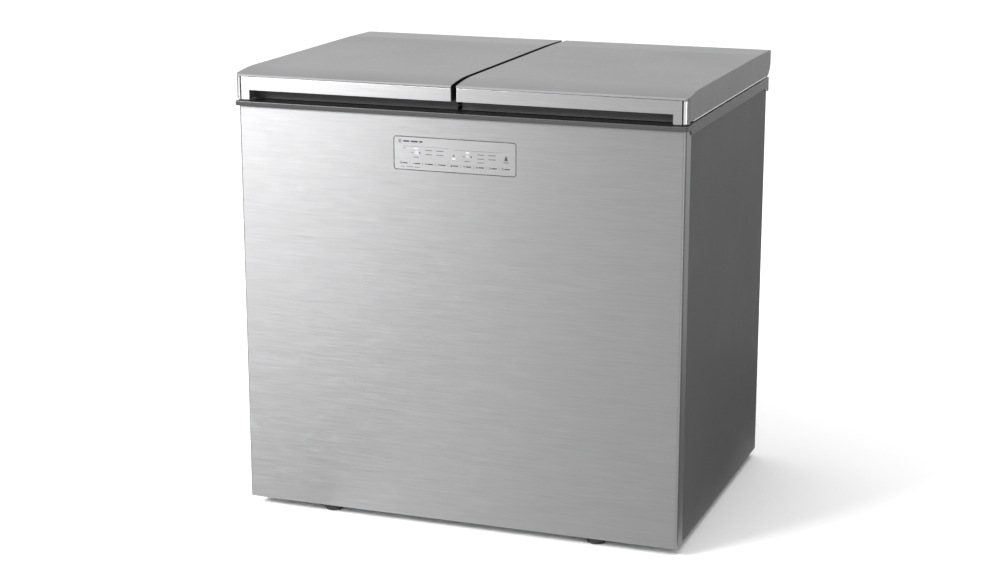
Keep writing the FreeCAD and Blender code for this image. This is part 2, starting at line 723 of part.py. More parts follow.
def fan_motor():
    """Motor can behind the shroud's boss, with its shaft."""
    y, z = MACHINE_MID_Y, FAN_Z
    start = FAN_X + FAN_FRAME_DEPTH + 2.2
    can = rod((start, y, z), (FAN_X + 60, y, z), MOTOR_RADIUS)
    can = can.makeFillet(4, [e for e in can.Edges if isinstance(e.Curve, Part.Circle)
                             and e.CenterOfMass.x > start + 1])
    shaft = rod((FAN_X + 6, y, z), (start + 1, y, z), FAN_SHAFT)
    return fuse([can, shaft])


def fan_rotor():
    """Hub with pitched blades, turning on the motor shaft."""
    y, z = MACHINE_MID_Y, FAN_Z
    start = FAN_X + 3
    end = FAN_X + 19
    pieces = [rod((start, y, z), (end, y, z), FAN_HUB)]
    for i in range(FAN_BLADES):
        blade = box(-24, 24, FAN_HUB - 4, FAN_RADIUS + 4, -0.9, 0.9)
        blade.rotate(V(0, 0, 0), V(0, 1, 0), 24)
        blade.translate(V((start + end) / 2, y, z))
        blade.rotate(V(0, y, z), V(1, 0, 0), 360 / FAN_BLADES * i)
        pieces.append(blade)
    envelope = rod((start, y, z), (end, y, z), FAN_RADIUS)
    bore = rod((start + 2, y, z), (end + 1, y, z), FAN_SHAFT + RUNNING_FIT)
    return fuse(pieces).common(envelope).cut(bore)


def filter_drier():
    """Copper capsule in the liquid line."""
    x = DRIER_X
    y = DRIER_Y
    body = rod((x, y, DRIER_LOW), (x, y, DRIER_HIGH), DRIER_RADIUS)
    body = body.makeFillet(5, [e for e in body.Edges if isinstance(e.Curve, Part.Circle)])
    outlet = rod((x, y, DRIER_LOW - 8), (x, y, DRIER_LOW + 2), 3.2)
    inlet = rod((x, y, DRIER_HIGH - 2), (x, y, DRIER_HIGH + 8), 4.2)
    return fuse([body, outlet, inlet])


def refrigerant_lines():
    """Discharge line, liquid line, capillary and suction line, as separate tubes."""
    left = COMPRESSOR_X - STUB_REACH - 0.2
    x = CONDENSER_X
    discharge = tube([(left, DISCHARGE_Y, DISCHARGE_Z), (120, DISCHARGE_Y, DISCHARGE_Z),
                      (120, DISCHARGE_Y, DISCHARGE_TOP), (x, DISCHARGE_Y, DISCHARGE_TOP),
                      (x, 143, DISCHARGE_TOP), (x, 143, 232)], 3.5, 14)
    low = CONDENSER_LOWEST
    liquid = tube([(x, CONDENSER_FRONT - 0.2, low), (x, 134, low), (x, 134, LIQUID_Z),
                   (40, 134, LIQUID_Z), (40, DRIER_Y, LIQUID_Z), (40, DRIER_Y, SUCTION_Z),
                   (DRIER_X, DRIER_Y, SUCTION_Z), (DRIER_X, DRIER_Y, DRIER_HIGH + 8.2)], 3.0, 7)
    capillary = tube([(DRIER_X, DRIER_Y, DRIER_LOW - 8.2), (DRIER_X, DRIER_Y, 50),
                      (150, DRIER_Y, 50), (150, DRIER_Y, MACHINE_TOP)], 1.5, 10)
    suction = tube([(left, SUCTION_Y, SUCTION_Z), (140, SUCTION_Y, SUCTION_Z),
                    (140, SUCTION_Y, MACHINE_TOP)], 4.5, 18)
    return [discharge, liquid, capillary, suction]


def mains_control_box():
    """Covered box for the mains board, on the machine compartment's left side."""
    wall = BOX_WALL
    case = round_box(BOX_LEFT, BOX_RIGHT, BOX_FRONT, BOX_REAR, BOX_LOW, BOX_HIGH, 6)
    inside = box(BOX_LEFT + wall, BOX_RIGHT - wall, BOX_FRONT + wall, BOX_REAR - wall,
                 BOX_LOW + wall, BOX_HIGH - wall)
    ribs = []
    for i in range(6):
        z = BOX_LOW + 30 + 20.0 * i
        ribs.append(box(BOX_RIGHT - 0.5, BOX_RIGHT + 1.5, BOX_FRONT + 20, BOX_REAR - 20, z, z + 6))
    return fuse([case] + ribs).cut(inside)


def rear_cover():
    """Slotted sheet over the back of the machine compartment."""
    y0 = COVER_FACE
    y1 = y0 + COVER_SHEET
    sheet = round_box(-COVER_HALF, COVER_HALF, y0, y1, COVER_LOW_Z, COVER_HIGH_Z, 8, V(0, 1, 0))
    half = VENT_WIDTH / 2
    openings = []
    for centre in VENT_CENTRES:
        for i in range(VENT_COUNT):
            x = centre + VENT_PITCH * (i - (VENT_COUNT - 1) / 2)
            for z in VENT_LEVELS:
                openings.append(round_box(x - half, x + half, y0 - 1, y1 + 1, z, z + VENT_HEIGHT,
                                          half - 0.1, V(0, 1, 0)))
    openings.append(rod((GLAND_X, y0 - 1, GLAND_Z), (GLAND_X, y1 + 1, GLAND_Z), GLAND_RADIUS + 0.2))
    return sheet.cut(Part.makeCompound(openings))


def cord_gland():
    """Bushing in the rear cover where the mains lead comes out."""
    y0 = COVER_FACE
    barrel = rod((GLAND_X, y0 - 4, GLAND_Z), (GLAND_X, y0 + 8, GLAND_Z), GLAND_RADIUS)
    collar = rod((GLAND_X, y0 + 2, GLAND_Z), (GLAND_X, y0 + 5, GLAND_Z), GLAND_RADIUS + 4.2)
    bore = rod((GLAND_X, y0 - 5, GLAND_Z), (GLAND_X, y0 + 9, GLAND_Z), LEAD_RADIUS)
    return fuse([barrel, collar]).cut(bore)


def wall_spacers():
    """Four blocks on the back that keep the object off a wall."""
    half = SPACER_HALF
    spacers = []
    for side in (-1, 1):
        for z, start in ((SPACER_HIGH_Z, BACK_PANEL_Y + SHEET),
                         (SPACER_LOW_Z, COVER_FACE + COVER_SHEET)):
            x = side * SPACER_X
            spacer = box(x - half, x + half, start, BACK, z - half, z + half)
            spacers.append(spacer.makeFillet(5, edges_along(spacer, V(0, 1, 0))))
    return spacers


def temperature_sensors():
    """Sensor holders bonded to the outside of each liner's front wall."""
    y1 = TUB_FRONT + SHOULDER - LINER - 0.1
    sensor = box(200, 236, y1 - 9, y1, 395, 410)
    sensor = sensor.makeFillet(3, edges_along(sensor, V(1, 0, 0), lambda c: c.y < y1 - 1))
    return [sensor, mirrored(sensor)]


# ---------------------------------------------------------------- feet and rollers


def front_foot():
    """Right levelling foot: a rounded pad with a stud that screws up into the pan."""
    pad = rod((FOOT_X, FOOT_Y, 0), (FOOT_X, FOOT_Y, FOOT_HEIGHT), FOOT_RADIUS)
    bottom = [e for e in pad.Edges if isinstance(e.Curve, Part.Circle) and e.CenterOfMass.z < 1]
    pad = pad.makeFillet(3, bottom)
    top = [e for e in pad.Edges if isinstance(e.Curve, Part.Circle)
           and e.CenterOfMass.z > FOOT_HEIGHT - 1]
    pad = pad.makeFillet(1.5, top)
    neck = rod((FOOT_X, FOOT_Y, FOOT_HEIGHT - 1), (FOOT_X, FOOT_Y, FLOOR_GAP - 0.4), NECK_RADIUS)
    stud = rod((FOOT_X, FOOT_Y, FOOT_HEIGHT - 4), (FOOT_X, FOOT_Y, STUD_TOP), STUD_RADIUS)
    return fuse([pad, neck, stud])


def foot_nuts():
    """Nuts welded on the pan, which the foot studs run in."""
    nuts = []
    for side in (-1, 1):
        x = side * FOOT_X
        high = PAN_TOP + WELD_NUT_HEIGHT
        nut = rod((x, FOOT_Y, PAN_TOP), (x, FOOT_Y, high), WELD_NUT_RADIUS)
        nuts.append(nut.cut(rod((x, FOOT_Y, PAN_TOP - 1), (x, FOOT_Y, high + 1),
                                STUD_RADIUS + RUNNING_FIT)))
    return nuts


def roller():
    """Right rear roller with a grooved hub."""
    a = ROLLER_X - ROLLER_HALF
    b = ROLLER_X + ROLLER_HALF
    y, z = ROLLER_Y, ROLLER_RADIUS
    inner, outer, depth = ROLLER_DISH
    wheel = rod((a, y, z), (b, y, z), ROLLER_RADIUS)
    wheel = wheel.makeFillet(2, [e for e in wheel.Edges if isinstance(e.Curve, Part.Circle)])
    for x0, x1 in ((a - 1, a + depth), (b - depth, b + 1)):
        dish = rod((x0, y, z), (x1, y, z), outer).cut(rod((x0, y, z), (x1, y, z), inner))
        wheel = wheel.cut(dish)
    return wheel.cut(rod((a - 1, y, z), (b + 1, y, z), PIN_RADIUS + RUNNING_FIT))


def roller_bracket():
    """Right roller's bracket, an upside-down channel set through the base pan."""
    x, y = ROLLER_X, ROLLER_Y
    half = BRACKET_HALF
    inner = half - BRACKET_SHEET
    length = BRACKET_LENGTH
    channel = box(x - half, x + half, y - length, y + length, BRACKET_LOW, BRACKET_TOP)
    channel = channel.cut(box(x - inner, x + inner, y - length - 1, y + length + 1,
                              BRACKET_LOW - 1, BRACKET_TOP - BRACKET_SHEET))
    wings = box(x - half - 7, x + half + 7, y - length, y + length, PAN_TOP,
                PAN_TOP + BRACKET_SHEET)
    wings = wings.cut(box(x - half + 1, x + half - 1, y - length - 1, y + length + 1, PAN_TOP - 1,
                          PAN_TOP + BRACKET_SHEET + 1))
    axle_hole = rod((x - half - 1, y, ROLLER_RADIUS), (x + half + 1, y, ROLLER_RADIUS), PIN_RADIUS)
    return fuse([channel, wings]).cut(axle_hole)


def roller_axle():
    """Right roller's axle, held in the bracket."""
    y, z = ROLLER_Y, ROLLER_RADIUS
    left = ROLLER_X - BRACKET_HALF
    right = ROLLER_X + BRACKET_HALF
    shaft = rod((left, y, z), (right, y, z), PIN_RADIUS)
    head = rod((right, y, z), (right + 2, y, z), 5)
    clip = rod((left - 1.5, y, z), (left, y, z), 4.5)
    return fuse([shaft, head, clip])


# ---------------------------------------------------------------- lids


def lid_block(inset, x0, x1):
    """Solid within the lid's side outline: a nose at the front, a hinge radius at the back."""
    nose_radius = (NOSE_LENGTH ** 2 + NOSE_DROP ** 2) / (2 * NOSE_DROP)
    nose_y = LID_FRONT + NOSE_LENGTH
    nose_z = HEIGHT - nose_radius
    radius = nose_radius - inset
    front = LID_FRONT + inset
    rear = LID_BACK - inset
    top = HEIGHT - inset

    def nose(y):
        return V(x0, y, nose_z + math.sqrt(radius ** 2 - (nose_y - y) ** 2))

    axis_radius = AXIS_RADIUS - inset
    slant = axis_radius * math.sqrt(0.5)
    bottom_front = V(x0, front, LID_BOTTOM + inset)
    hinge_low = V(x0, AXIS_Y, AXIS_Z - axis_radius)
    hinge_side = V(x0, AXIS_Y + axis_radius, AXIS_Z)
    hinge_mid = V(x0, AXIS_Y + slant, AXIS_Z - slant)
    band = V(x0, LID_BACK - BAND_DEPTH, top)
    crest = V(x0, rear, top - BAND_DROP)
    edges = [
        Part.LineSegment(bottom_front, nose(front)).toShape(),
        Part.Arc(nose(front), nose((front + nose_y) / 2), nose(nose_y)).toShape(),
        Part.LineSegment(nose(nose_y), band).toShape(),
        Part.LineSegment(band, crest).toShape(),
        Part.LineSegment(crest, hinge_side).toShape(),
        Part.Arc(hinge_side, hinge_mid, hinge_low).toShape(),
        Part.LineSegment(hinge_low, bottom_front).toShape(),
    ]
    return Part.Face(Part.Wire(edges)).extrude(V(x1 - x0, 0, 0))


def lid_plan():
    """Upright block with the lid's outline from above, its outer corners rounded."""
    plan = box(LID_IN, LID_OUT, LID_FRONT, LID_BACK, LID_LEG_BOTTOM - 5, HEIGHT + 5)
    plan = plan.makeFillet(LID_CORNER, edges_along(plan, V(0, 0, 1),
                           lambda c: c.x > LID_OUT - 1 and c.y < 0))
    return plan.makeFillet(3, edges_along(plan, V(0, 0, 1),
                           lambda c: c.x > LID_OUT - 1 and c.y > 0))


def hinge_slots():
    """Spaces cut up through the lid's back edge for the cabinet's hinge brackets."""
    return [box(x - POCKET_HALF, x + POCKET_HALF, POCKET_FRONT, LID_BACK + 5, LID_BOTTOM - 5,
                POCKET_TOP) for x in HINGE_X]


def leaf_pockets():
    """Spaces in the foam for the lid's own hinge leaves."""
    return [box(x - POCKET_HALF, x + POCKET_HALF, LEAF_POCKET_FRONT, AXIS_Y + 3.5, LEAF_POCKET_LOW,
                POCKET_TOP) for x in HINGE_X]


def lid_cover():
    """Top skin of the right lid: top, front lip, inner edge and the rounded back edge."""
    end = LID_OUT - END_SKIN - 0.1
    shell = lid_block(0, LID_IN, LID_OUT)
    front_edge = edges_along(shell, V(1, 0, 0), lambda c: c.y < LID_FRONT + 1 and c.z > COVER_LOW)
    shell = shell.makeFillet(COVER_BEND, front_edge).common(lid_plan())
    shell = shell.cut(lid_block(LID_SKIN, LID_IN + LID_SKIN, LID_OUT + 1))
    shell = shell.cut(box(LID_IN - 1, LID_OUT + 1, LID_FRONT - 1, AXIS_Y, LID_BOTTOM - 1,
                          LINER_PLATE + LID_SKIN + 0.2))
    low_front = box(LID_IN - 1, LID_OUT + 1, LID_FRONT - 1, RECESS_BACK + RECESS_WALL + 0.2,
                    LID_BOTTOM - 1, COVER_LOW)
    shell = shell.cut(low_front)
    shell = shell.cut(box(end, LID_OUT + 1, LID_FRONT - 1, LID_BACK + 1, LID_BOTTOM - 1, HEIGHT + 1))
    cheek = box(LID_IN, LID_IN + LID_SKIN, LID_FRONT + LID_SKIN + 0.2, RECESS_BACK + RECESS_WALL + 1,
                RECESS_TOP + RECESS_WALL + 0.2, COVER_LOW + 1)
    shell = fuse([shell, cheek])
    for slot in hinge_slots():
        shell = shell.cut(slot)
    return max(shell.Solids, key=lambda s: s.Volume)


def lid_front_trim():
    """Bright front plate, cut away over the finger slot and full height at its outer leg."""
    plate = box(LID_IN, TRIM_OUT, LID_FRONT, LID_FRONT + LID_SKIN, RECESS_TOP, TRIM_TOP)
    leg = box(RECESS_OUT, TRIM_OUT, LID_FRONT, LID_FRONT + LID_SKIN, LID_LEG_BOTTOM, TRIM_TOP)
    trim = fuse([plate, leg])
    top = edges_along(trim, V(1, 0, 0), lambda c: c.y < LID_FRONT + 1 and c.z > TRIM_TOP - 1)
    trim = trim.makeFillet(1.0, top)
    inner = edges_along(trim, V(0, 0, 1), lambda c: c.y < LID_FRONT + 1 and c.x < LID_IN + 1)
    return trim.makeFillet(2.0, inner)


def lid_handle_recess():
    """Dark channel behind the front plate that fingers reach up into."""
    y0 = LID_FRONT + LID_SKIN
    back = RECESS_BACK + RECESS_WALL
    end = RECESS_OUT + RECESS_WALL
    roof = box(LID_IN, end, y0, back, RECESS_TOP, RECESS_TOP + RECESS_WALL)
    rear = box(LID_IN, end, RECESS_BACK, back, RECESS_LOW, RECESS_TOP + RECESS_WALL)
    side = box(RECESS_OUT, end, y0, back, LID_BOTTOM, RECESS_TOP + RECESS_WALL)
    sole = box(RECESS_OUT, TRIM_OUT, y0, back, LID_BOTTOM, LID_BOTTOM + RECESS_WALL)
    return fuse([roof, rear, side, sole])


def lid_corner_band(inner, outer, low, high):
    """Slice of the lid's rounded front corner, between two radii and two heights."""
    x = LID_OUT - LID_CORNER
    y = LID_FRONT + LID_CORNER
    band = Part.makeCylinder(outer, high - low, V(x, y, low), V(0, 0, 1), STRIP_SWEEP)
    band = band.cut(Part.makeCylinder(inner, high - low, V(x, y, low), V(0, 0, 1), 360))
    band.rotate(V(x, y, 0), V(0, 0, 1), -90)
    return band


def lid_end_strip():
    """Polished strip let into the rounded front corner."""
    return lid_corner_band(LID_CORNER - 1.5, LID_CORNER, LID_LEG_BOTTOM + 1.5, TRIM_TOP - 1)


def lid_end_moulding():
    """Outer end of the right lid: a side plate with a low heel, and the rounded corner post."""
    x0 = LID_OUT - END_SKIN
    heel = box(x0, LID_OUT, AXIS_Y - 1, LID_BACK, LID_BOTTOM, AXIS_Z)
    heel = heel.makeFillet(HEEL_RADIUS, edges_along(heel, V(1, 0, 0),
                           lambda c: c.y > LID_BACK - 1 and c.z < LID_BOTTOM + 1))
    plate = fuse([lid_block(0, x0, LID_OUT), heel]).common(lid_plan())
    plate = plate.cut(box(0, LID_OUT + 1, LID_FRONT - 1, AXIS_Y - 0.1, LID_BOTTOM - 1,
                          LINER_PLATE + 0.2))
    post = box(CORNER_IN, LID_OUT, LID_FRONT, LID_FRONT + LID_CORNER, LID_LEG_BOTTOM,
               COVER_LOW - 0.2).common(lid_plan())
    strip = lid_corner_band(LID_CORNER - 1.6, LID_CORNER + 1, LID_LEG_BOTTOM + 1.4, TRIM_TOP - 0.9)
    return fuse([plate, post]).cut(strip)


def lid_inner_liner():
    """White underside of the right lid with a plug that drops into the tub's mouth."""
    y0 = RECESS_BACK + RECESS_WALL + 0.2
    plate = box(LID_IN + 0.2, LID_OUT - END_SKIN - 0.2, y0, AXIS_Y - 0.3, LINER_PLATE,
                LINER_PLATE + LID_SKIN)
    edge = box(LID_OUT - END_SKIN - LID_SKIN, LID_OUT - 0.3, y0, AXIS_Y - 0.3, LID_BOTTOM,
               LINER_PLATE)
    plug = round_box(TUB_IN + PLUG_GAP, TUB_OUT - PLUG_GAP, TUB_FRONT + PLUG_GAP,
                     TUB_BACK - PLUG_GAP, PLUG_BOTTOM, LINER_PLATE + 1, PLUG_CORNER)
    rim = [e for e in plug.Edges if abs(e.CenterOfMass.z - PLUG_BOTTOM) < 0.01]
    plug = plug.makeFillet(6, rim)
    hollow = round_box(TUB_IN + PLUG_GAP + LID_SKIN, TUB_OUT - PLUG_GAP - LID_SKIN,
                       TUB_FRONT + PLUG_GAP + LID_SKIN, TUB_BACK - PLUG_GAP - LID_SKIN,
                       PLUG_BOTTOM + LID_SKIN, LINER_PLATE + LID_SKIN + 1, PLUG_CORNER - LID_SKIN)
    whole = fuse([plate, edge, plug]).cut(hollow)
    for slot in hinge_slots():
        whole = whole.cut(slot)
    return whole


def lid_foam():
    """Insulation inside the right lid."""
    y0 = RECESS_BACK + RECESS_WALL + 0.3
    filling = lid_block(LID_SKIN + 0.1, LID_IN + LID_SKIN + 0.1, LID_OUT - LID_SKIN - 0.1)
    filling = filling.common(box(0, LID_OUT, y0, LID_BACK, LINER_PLATE + LID_SKIN, HEIGHT))
    plug = round_box(TUB_IN + PLUG_GAP + LID_SKIN, TUB_OUT - PLUG_GAP - LID_SKIN,
                     TUB_FRONT + PLUG_GAP + LID_SKIN, TUB_BACK - PLUG_GAP - LID_SKIN,
                     PLUG_BOTTOM + LID_SKIN, LINER_PLATE + LID_SKIN + 1, PLUG_CORNER - LID_SKIN)
    foam = fuse([filling, plug])
    for pocket in hinge_slots() + leaf_pockets():
        foam = foam.cut(pocket)
    return foam


def lid_gasket():
    """Hollow-section magnetic seal round the underside of the right lid."""

    def ring(width, low, high, side):
        outer = round_box(GASKET_IN + side, GASKET_OUT - side, GASKET_FRONT + side,
                          GASKET_BACK - side, low, high, 8)
        inset = side + width
        hole = round_box(GASKET_IN + inset, GASKET_OUT - inset, GASKET_FRONT + inset,
                         GASKET_BACK - inset, low - 1, high + 1, 4)
        return outer.cut(hole)

    base = ring(12, LID_BOTTOM + 0.2, LINER_PLATE, 0)
    neck = ring(6, LID_BOTTOM - 1.4, LID_BOTTOM + 0.4, 3)
    bulb = ring(10, FRAME_TOP + 0.3, LID_BOTTOM - 1.2, 1)
    return fuse([base, neck, bulb])


# ---------------------------------------------------------------- lid hinges


def bracket_for(x):
    """Cabinet side of one hinge: a foot on the top frame and two upright ears."""
    front = BRACKET_FOOT_FRONT
    foot = box(x - BRACKET_FOOT_HALF, x + BRACKET_FOOT_HALF, front, BRACKET_FOOT_BACK, FRAME_TOP,
               FRAME_TOP + BRACKET_FOOT_SHEET)
    pieces = [foot]
    outline = [(front + 0.5, FRAME_TOP + 1), (front + 11.5, FRAME_TOP + 1),
               (AXIS_Y + KNUCKLE, AXIS_Z), (AXIS_Y - KNUCKLE + 1, AXIS_Z),
               (AXIS_Y - 3, AXIS_Z - 30)]
    for start in (x - EAR_START - EAR_SHEET, x + EAR_START):
        pieces.append(prism_x(outline, start, start + EAR_SHEET))
        pieces.append(rod((start, AXIS_Y, AXIS_Z), (start + EAR_SHEET, AXIS_Y, AXIS_Z), KNUCKLE))
    reach = EAR_START + EAR_SHEET + 1
    bore = rod((x - reach, AXIS_Y, AXIS_Z), (x + reach, AXIS_Y, AXIS_Z), PIN_RADIUS)
    return fuse(pieces).cut(bore)


def leaf_for(x):
    """Lid side of one hinge: a plate in the lid with two knuckles round the pin."""
    pieces = [box(x - LEAF_HALF, x + LEAF_HALF, LEAF_FRONT, LEAF_BACK, LEAF_LOW, LEAF_HIGH)]
    for start in (x - LEAF_START - EAR_SHEET, x + LEAF_START):
        end = start + EAR_SHEET
        pieces.append(box(start, end, LEAF_BACK - 22, AXIS_Y, AXIS_Z - 4, LEAF_HIGH))
        pieces.append(rod((start, AXIS_Y, AXIS_Z), (end, AXIS_Y, AXIS_Z), KNUCKLE))
    bore = rod((x - LEAF_HALF, AXIS_Y, AXIS_Z), (x + LEAF_HALF, AXIS_Y, AXIS_Z),
               PIN_RADIUS + RUNNING_FIT)
    return fuse(pieces).cut(bore)


def pin_for(x):
    """Headed hinge pin, fast in the cabinet's ears."""
    shaft = rod((x - PIN_HALF, AXIS_Y, AXIS_Z), (x + PIN_HALF, AXIS_Y, AXIS_Z), PIN_RADIUS)
    head = rod((x + PIN_HALF, AXIS_Y, AXIS_Z), (x + PIN_HALF + 2, AXIS_Y, AXIS_Z), 5)
    clip = rod((x - PIN_HALF - 1.5, AXIS_Y, AXIS_Z), (x - PIN_HALF, AXIS_Y, AXIS_Z), 4.5)
    return fuse([shaft, head, clip])


def spring_for(x):
    """Close-wound torsion spring on the pin: a sleeve with one round ridge per turn."""
    wire = SPRING_WIRE
    turns = SPRING_TURNS
    inner = PIN_RADIUS + 0.3
    mean = inner + wire
    start = x - turns * wire
    edges = []
    for i in range(turns):
        a = start + 2 * wire * i
        edges.append(Part.Arc(V(a, AXIS_Y, AXIS_Z + mean), V(a + wire, AXIS_Y, AXIS_Z + mean + wire),
                              V(a + 2 * wire, AXIS_Y, AXIS_Z + mean)).toShape())
    end = start + 2 * wire * turns
    corners = [V(end, AXIS_Y, AXIS_Z + mean), V(end, AXIS_Y, AXIS_Z + inner),
               V(start, AXIS_Y, AXIS_Z + inner), V(start, AXIS_Y, AXIS_Z + mean)]
    for a, b in zip(corners, corners[1:]):
        edges.append(Part.LineSegment(a, b).toShape())
    return Part.Face(Part.Wire(edges)).revolve(V(0, AXIS_Y, AXIS_Z), V(1, 0, 0), 360)


def screw(x, y, z, direction):
    """Pan head of a cross-slotted screw, standing on a face that looks in a direction."""
    place = V(x, y, z)
    head = Part.makeCylinder(4, 1.8, place, V(*direction))
    head = head.makeFillet(1, [e for e in head.Edges if isinstance(e.Curve, Part.Circle)
                               and (e.CenterOfMass - place).Length > 1])
    slot = Part.makeBox(5, 1, 1, V(-2.5, -0.5, 0.9))
    slot = slot.fuse(Part.makeBox(1, 5, 1, V(-0.5, -2.5, 0.9)))
    slot.Placement = FreeCAD.Placement(place, FreeCAD.Rotation(V(0, 0, 1), V(*direction)))
    return head.cut(slot)


# ---------------------------------------------------------------- baskets


def basket():
    """Moulded basket that hangs by its rim on the right tub's shoulders."""
    body = round_box(BASKET_IN, BASKET_OUT, BASKET_FRONT, BASKET_BACK, BASKET_BOTTOM,
                     RIM_Z + RIM, BASKET_CORNER)
    body = body.makeFillet(BASKET_FOOT, [e for e in body.Edges
                                         if abs(e.CenterOfMass.z - BASKET_BOTTOM) < 0.01])
    rim = round_box(TUB_IN + 2, TUB_OUT - 2, BASKET_FRONT - RIM_REACH, BASKET_BACK + RIM_REACH,
                    RIM_Z, RIM_Z + RIM, 30)
    wall = BASKET_WALL
    inside = round_box(BASKET_IN + wall, BASKET_OUT - wall, BASKET_FRONT + wall,
                       BASKET_BACK - wall, BASKET_BOTTOM + wall, RIM_Z + RIM + 1,
                       BASKET_CORNER - wall)
    return fuse([body, rim]).cut(inside)


# ---------------------------------------------------------------- the whole object


def fasteners():
    """Compressor nuts, hinge bracket screws and rear cover screws."""
    placed = [compressor_nut(x, y) for x, y in grommet_places()]
    for x in HINGE_X:
        for side in (-1, 1):
            for offset in (-HINGE_SCREW_OFFSET, HINGE_SCREW_OFFSET):
                placed.append(screw(side * x + offset, HINGE_SCREW_Y,
                                    FRAME_TOP + BRACKET_FOOT_SHEET, (0, 0, 1)))
    for x in COVER_SCREW_X:
        for z in COVER_SCREW_Z:
            placed.append(screw(x, COVER_FACE + COVER_SHEET, z, (0, 1, 0)))
    return placed


def both(maker, *args):
    """A piece and its mirror image, as (left, right)."""
    right = maker(*args)
    return mirrored(right), right


def main():
    os.makedirs("parts", exist_ok=True)

    front = front_panel()
    side_left, side_right = both(right_side_panel)
    pan = base_pan()
    bulkhead = machine_bulkhead()
    back = back_panel()
    frame = top_frame()
    liner_left, liner_right = both(liner)
    housing = display_housing()
    sensors = temperature_sensors()
    save("front_panel", front)
    save("left_side_panel", side_left)
    save("right_side_panel", side_right)
    save("back_panel", back)
    save("base_pan", pan)
    save("machine_bulkhead", bulkhead)
    save("top_frame", frame)
    save("left_liner", liner_left)
    save("right_liner", liner_right)
    coil_left, coil_right = both(evaporator)
    save("left_evaporator_coil", coil_left)
    save("right_evaporator_coil", coil_right)
    inner = [front, side_left, side_right, pan, bulkhead, frame, liner_left, liner_right,
             housing] + sensors
    save("insulation_foam", insulation(inner))

    save("control_overlay", control_overlay())
    save("display_housing", housing)
    save("display_board", display_board())
    save("temperature_sensors", *sensors)

    shell = compressor_shell()
    save("compressor_shell", shell)
    save("compressor_grommets", *compressor_grommets())
    save("compressor_terminal_cover", terminal_cover(shell))
    save("condenser_tube", condenser_tube())
    save("condenser_fins", *condenser_fins())
    save("fan_shroud", fan_shroud())
    save("fan_motor", fan_motor())
    save("fan_rotor", fan_rotor())
    save("filter_drier", filter_drier())
    save("refrigerant_lines", *refrigerant_lines())
    save("mains_control_box", mains_control_box())
    save("rear_cover", rear_cover())
    save("cord_gland", cord_gland())
    save("wall_spacers", *wall_spacers())

    foot_left, foot_right = both(front_foot)
    save("left_front_foot", foot_left)
    save("right_front_foot", foot_right)
    roller_left, roller_right = both(roller)
    save("left_rear_roller", roller_left)
    save("right_rear_roller", roller_right)
    save("roller_brackets", *both(roller_bracket))
    save("roller_axles", *both(roller_axle))

    lid_pieces = {
        "lid_cover": lid_cover,
        "lid_front_trim": lid_front_trim,
        "lid_handle_recess": lid_handle_recess,
        "lid_end_moulding": lid_end_moulding,
        "lid_end_strip": lid_end_strip,
        "lid_inner_liner": lid_inner_liner,
        "lid_foam": lid_foam,
        "lid_gasket": lid_gasket,
    }
    for name, maker in lid_pieces.items():
        left, right = both(maker)
        save("left_" + name, left)
        save("right_" + name, right)
    leaves = [leaf_for(x) for x in HINGE_X]
    save("left_lid_hinge_leaves", *[mirrored(leaf) for leaf in leaves])
    save("right_lid_hinge_leaves", *leaves)
    for name, maker in (("lid_hinge_brackets", bracket_for), ("lid_hinge_pins", pin_for),
                        ("lid_hinge_springs", spring_for)):
        right = [maker(x) for x in HINGE_X]
        save(name, *right, *[mirrored(piece) for piece in right])

    basket_left, basket_right = both(basket)
    save("left_basket", basket_left)
    save("right_basket", basket_right)

    save("fasteners", *fasteners())


main()
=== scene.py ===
import json
import math

import bmesh
import bpy
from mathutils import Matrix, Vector


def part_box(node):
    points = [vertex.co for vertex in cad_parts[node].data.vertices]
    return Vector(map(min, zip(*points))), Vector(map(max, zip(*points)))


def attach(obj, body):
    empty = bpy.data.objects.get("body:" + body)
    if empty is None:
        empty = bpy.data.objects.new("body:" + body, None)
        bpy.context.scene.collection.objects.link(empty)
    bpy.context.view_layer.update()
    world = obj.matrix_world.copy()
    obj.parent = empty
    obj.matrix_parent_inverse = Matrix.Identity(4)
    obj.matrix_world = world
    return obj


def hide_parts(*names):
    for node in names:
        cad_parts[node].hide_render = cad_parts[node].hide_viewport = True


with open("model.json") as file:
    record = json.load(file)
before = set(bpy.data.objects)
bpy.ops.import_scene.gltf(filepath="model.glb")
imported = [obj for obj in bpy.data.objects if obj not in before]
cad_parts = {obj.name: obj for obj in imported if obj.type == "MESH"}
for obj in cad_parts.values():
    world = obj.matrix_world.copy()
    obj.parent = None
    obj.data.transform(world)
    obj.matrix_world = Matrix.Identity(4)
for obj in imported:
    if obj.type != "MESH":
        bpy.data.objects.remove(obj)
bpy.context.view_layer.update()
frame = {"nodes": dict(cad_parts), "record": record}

MM = 0.001

# ------------------------------------------------------------------ camera and light

CAMERA_PLACE = Vector((1.4414, -4.0488, 1.5035))
CAMERA_YAW = 0.3485
CAMERA_PITCH = 0.2489
CAMERA_LENS = 75.35
SENSOR_WIDTH = 36.0

WORLD_STRENGTH = 0.46
OVERHEAD_LIGHT = 0.66
OVERHEAD_SPREAD = 1.25
FLOOR_SIZE = 80.0
FLAG_RIGHT = 3.5
FLAG_LEFT = -FLAG_RIGHT
FLAG_FRONT = -0.34
FLAG_BACK = 6.0
FLAG_LIFT = 0.002
FLAG_HEIGHT = 3.2
FLAG_NEAR = -1.3
FLAG_FAR = 1.1
FLAG_AHEAD = -7.0
FLAG_FOOT = -0.345
FLAG_SPLIT = -0.3
RIGHT_FLAG_START = 0.50
RIGHT_FLAG_GREY = 0.36
LEFT_FLAG_GREY = 0.12
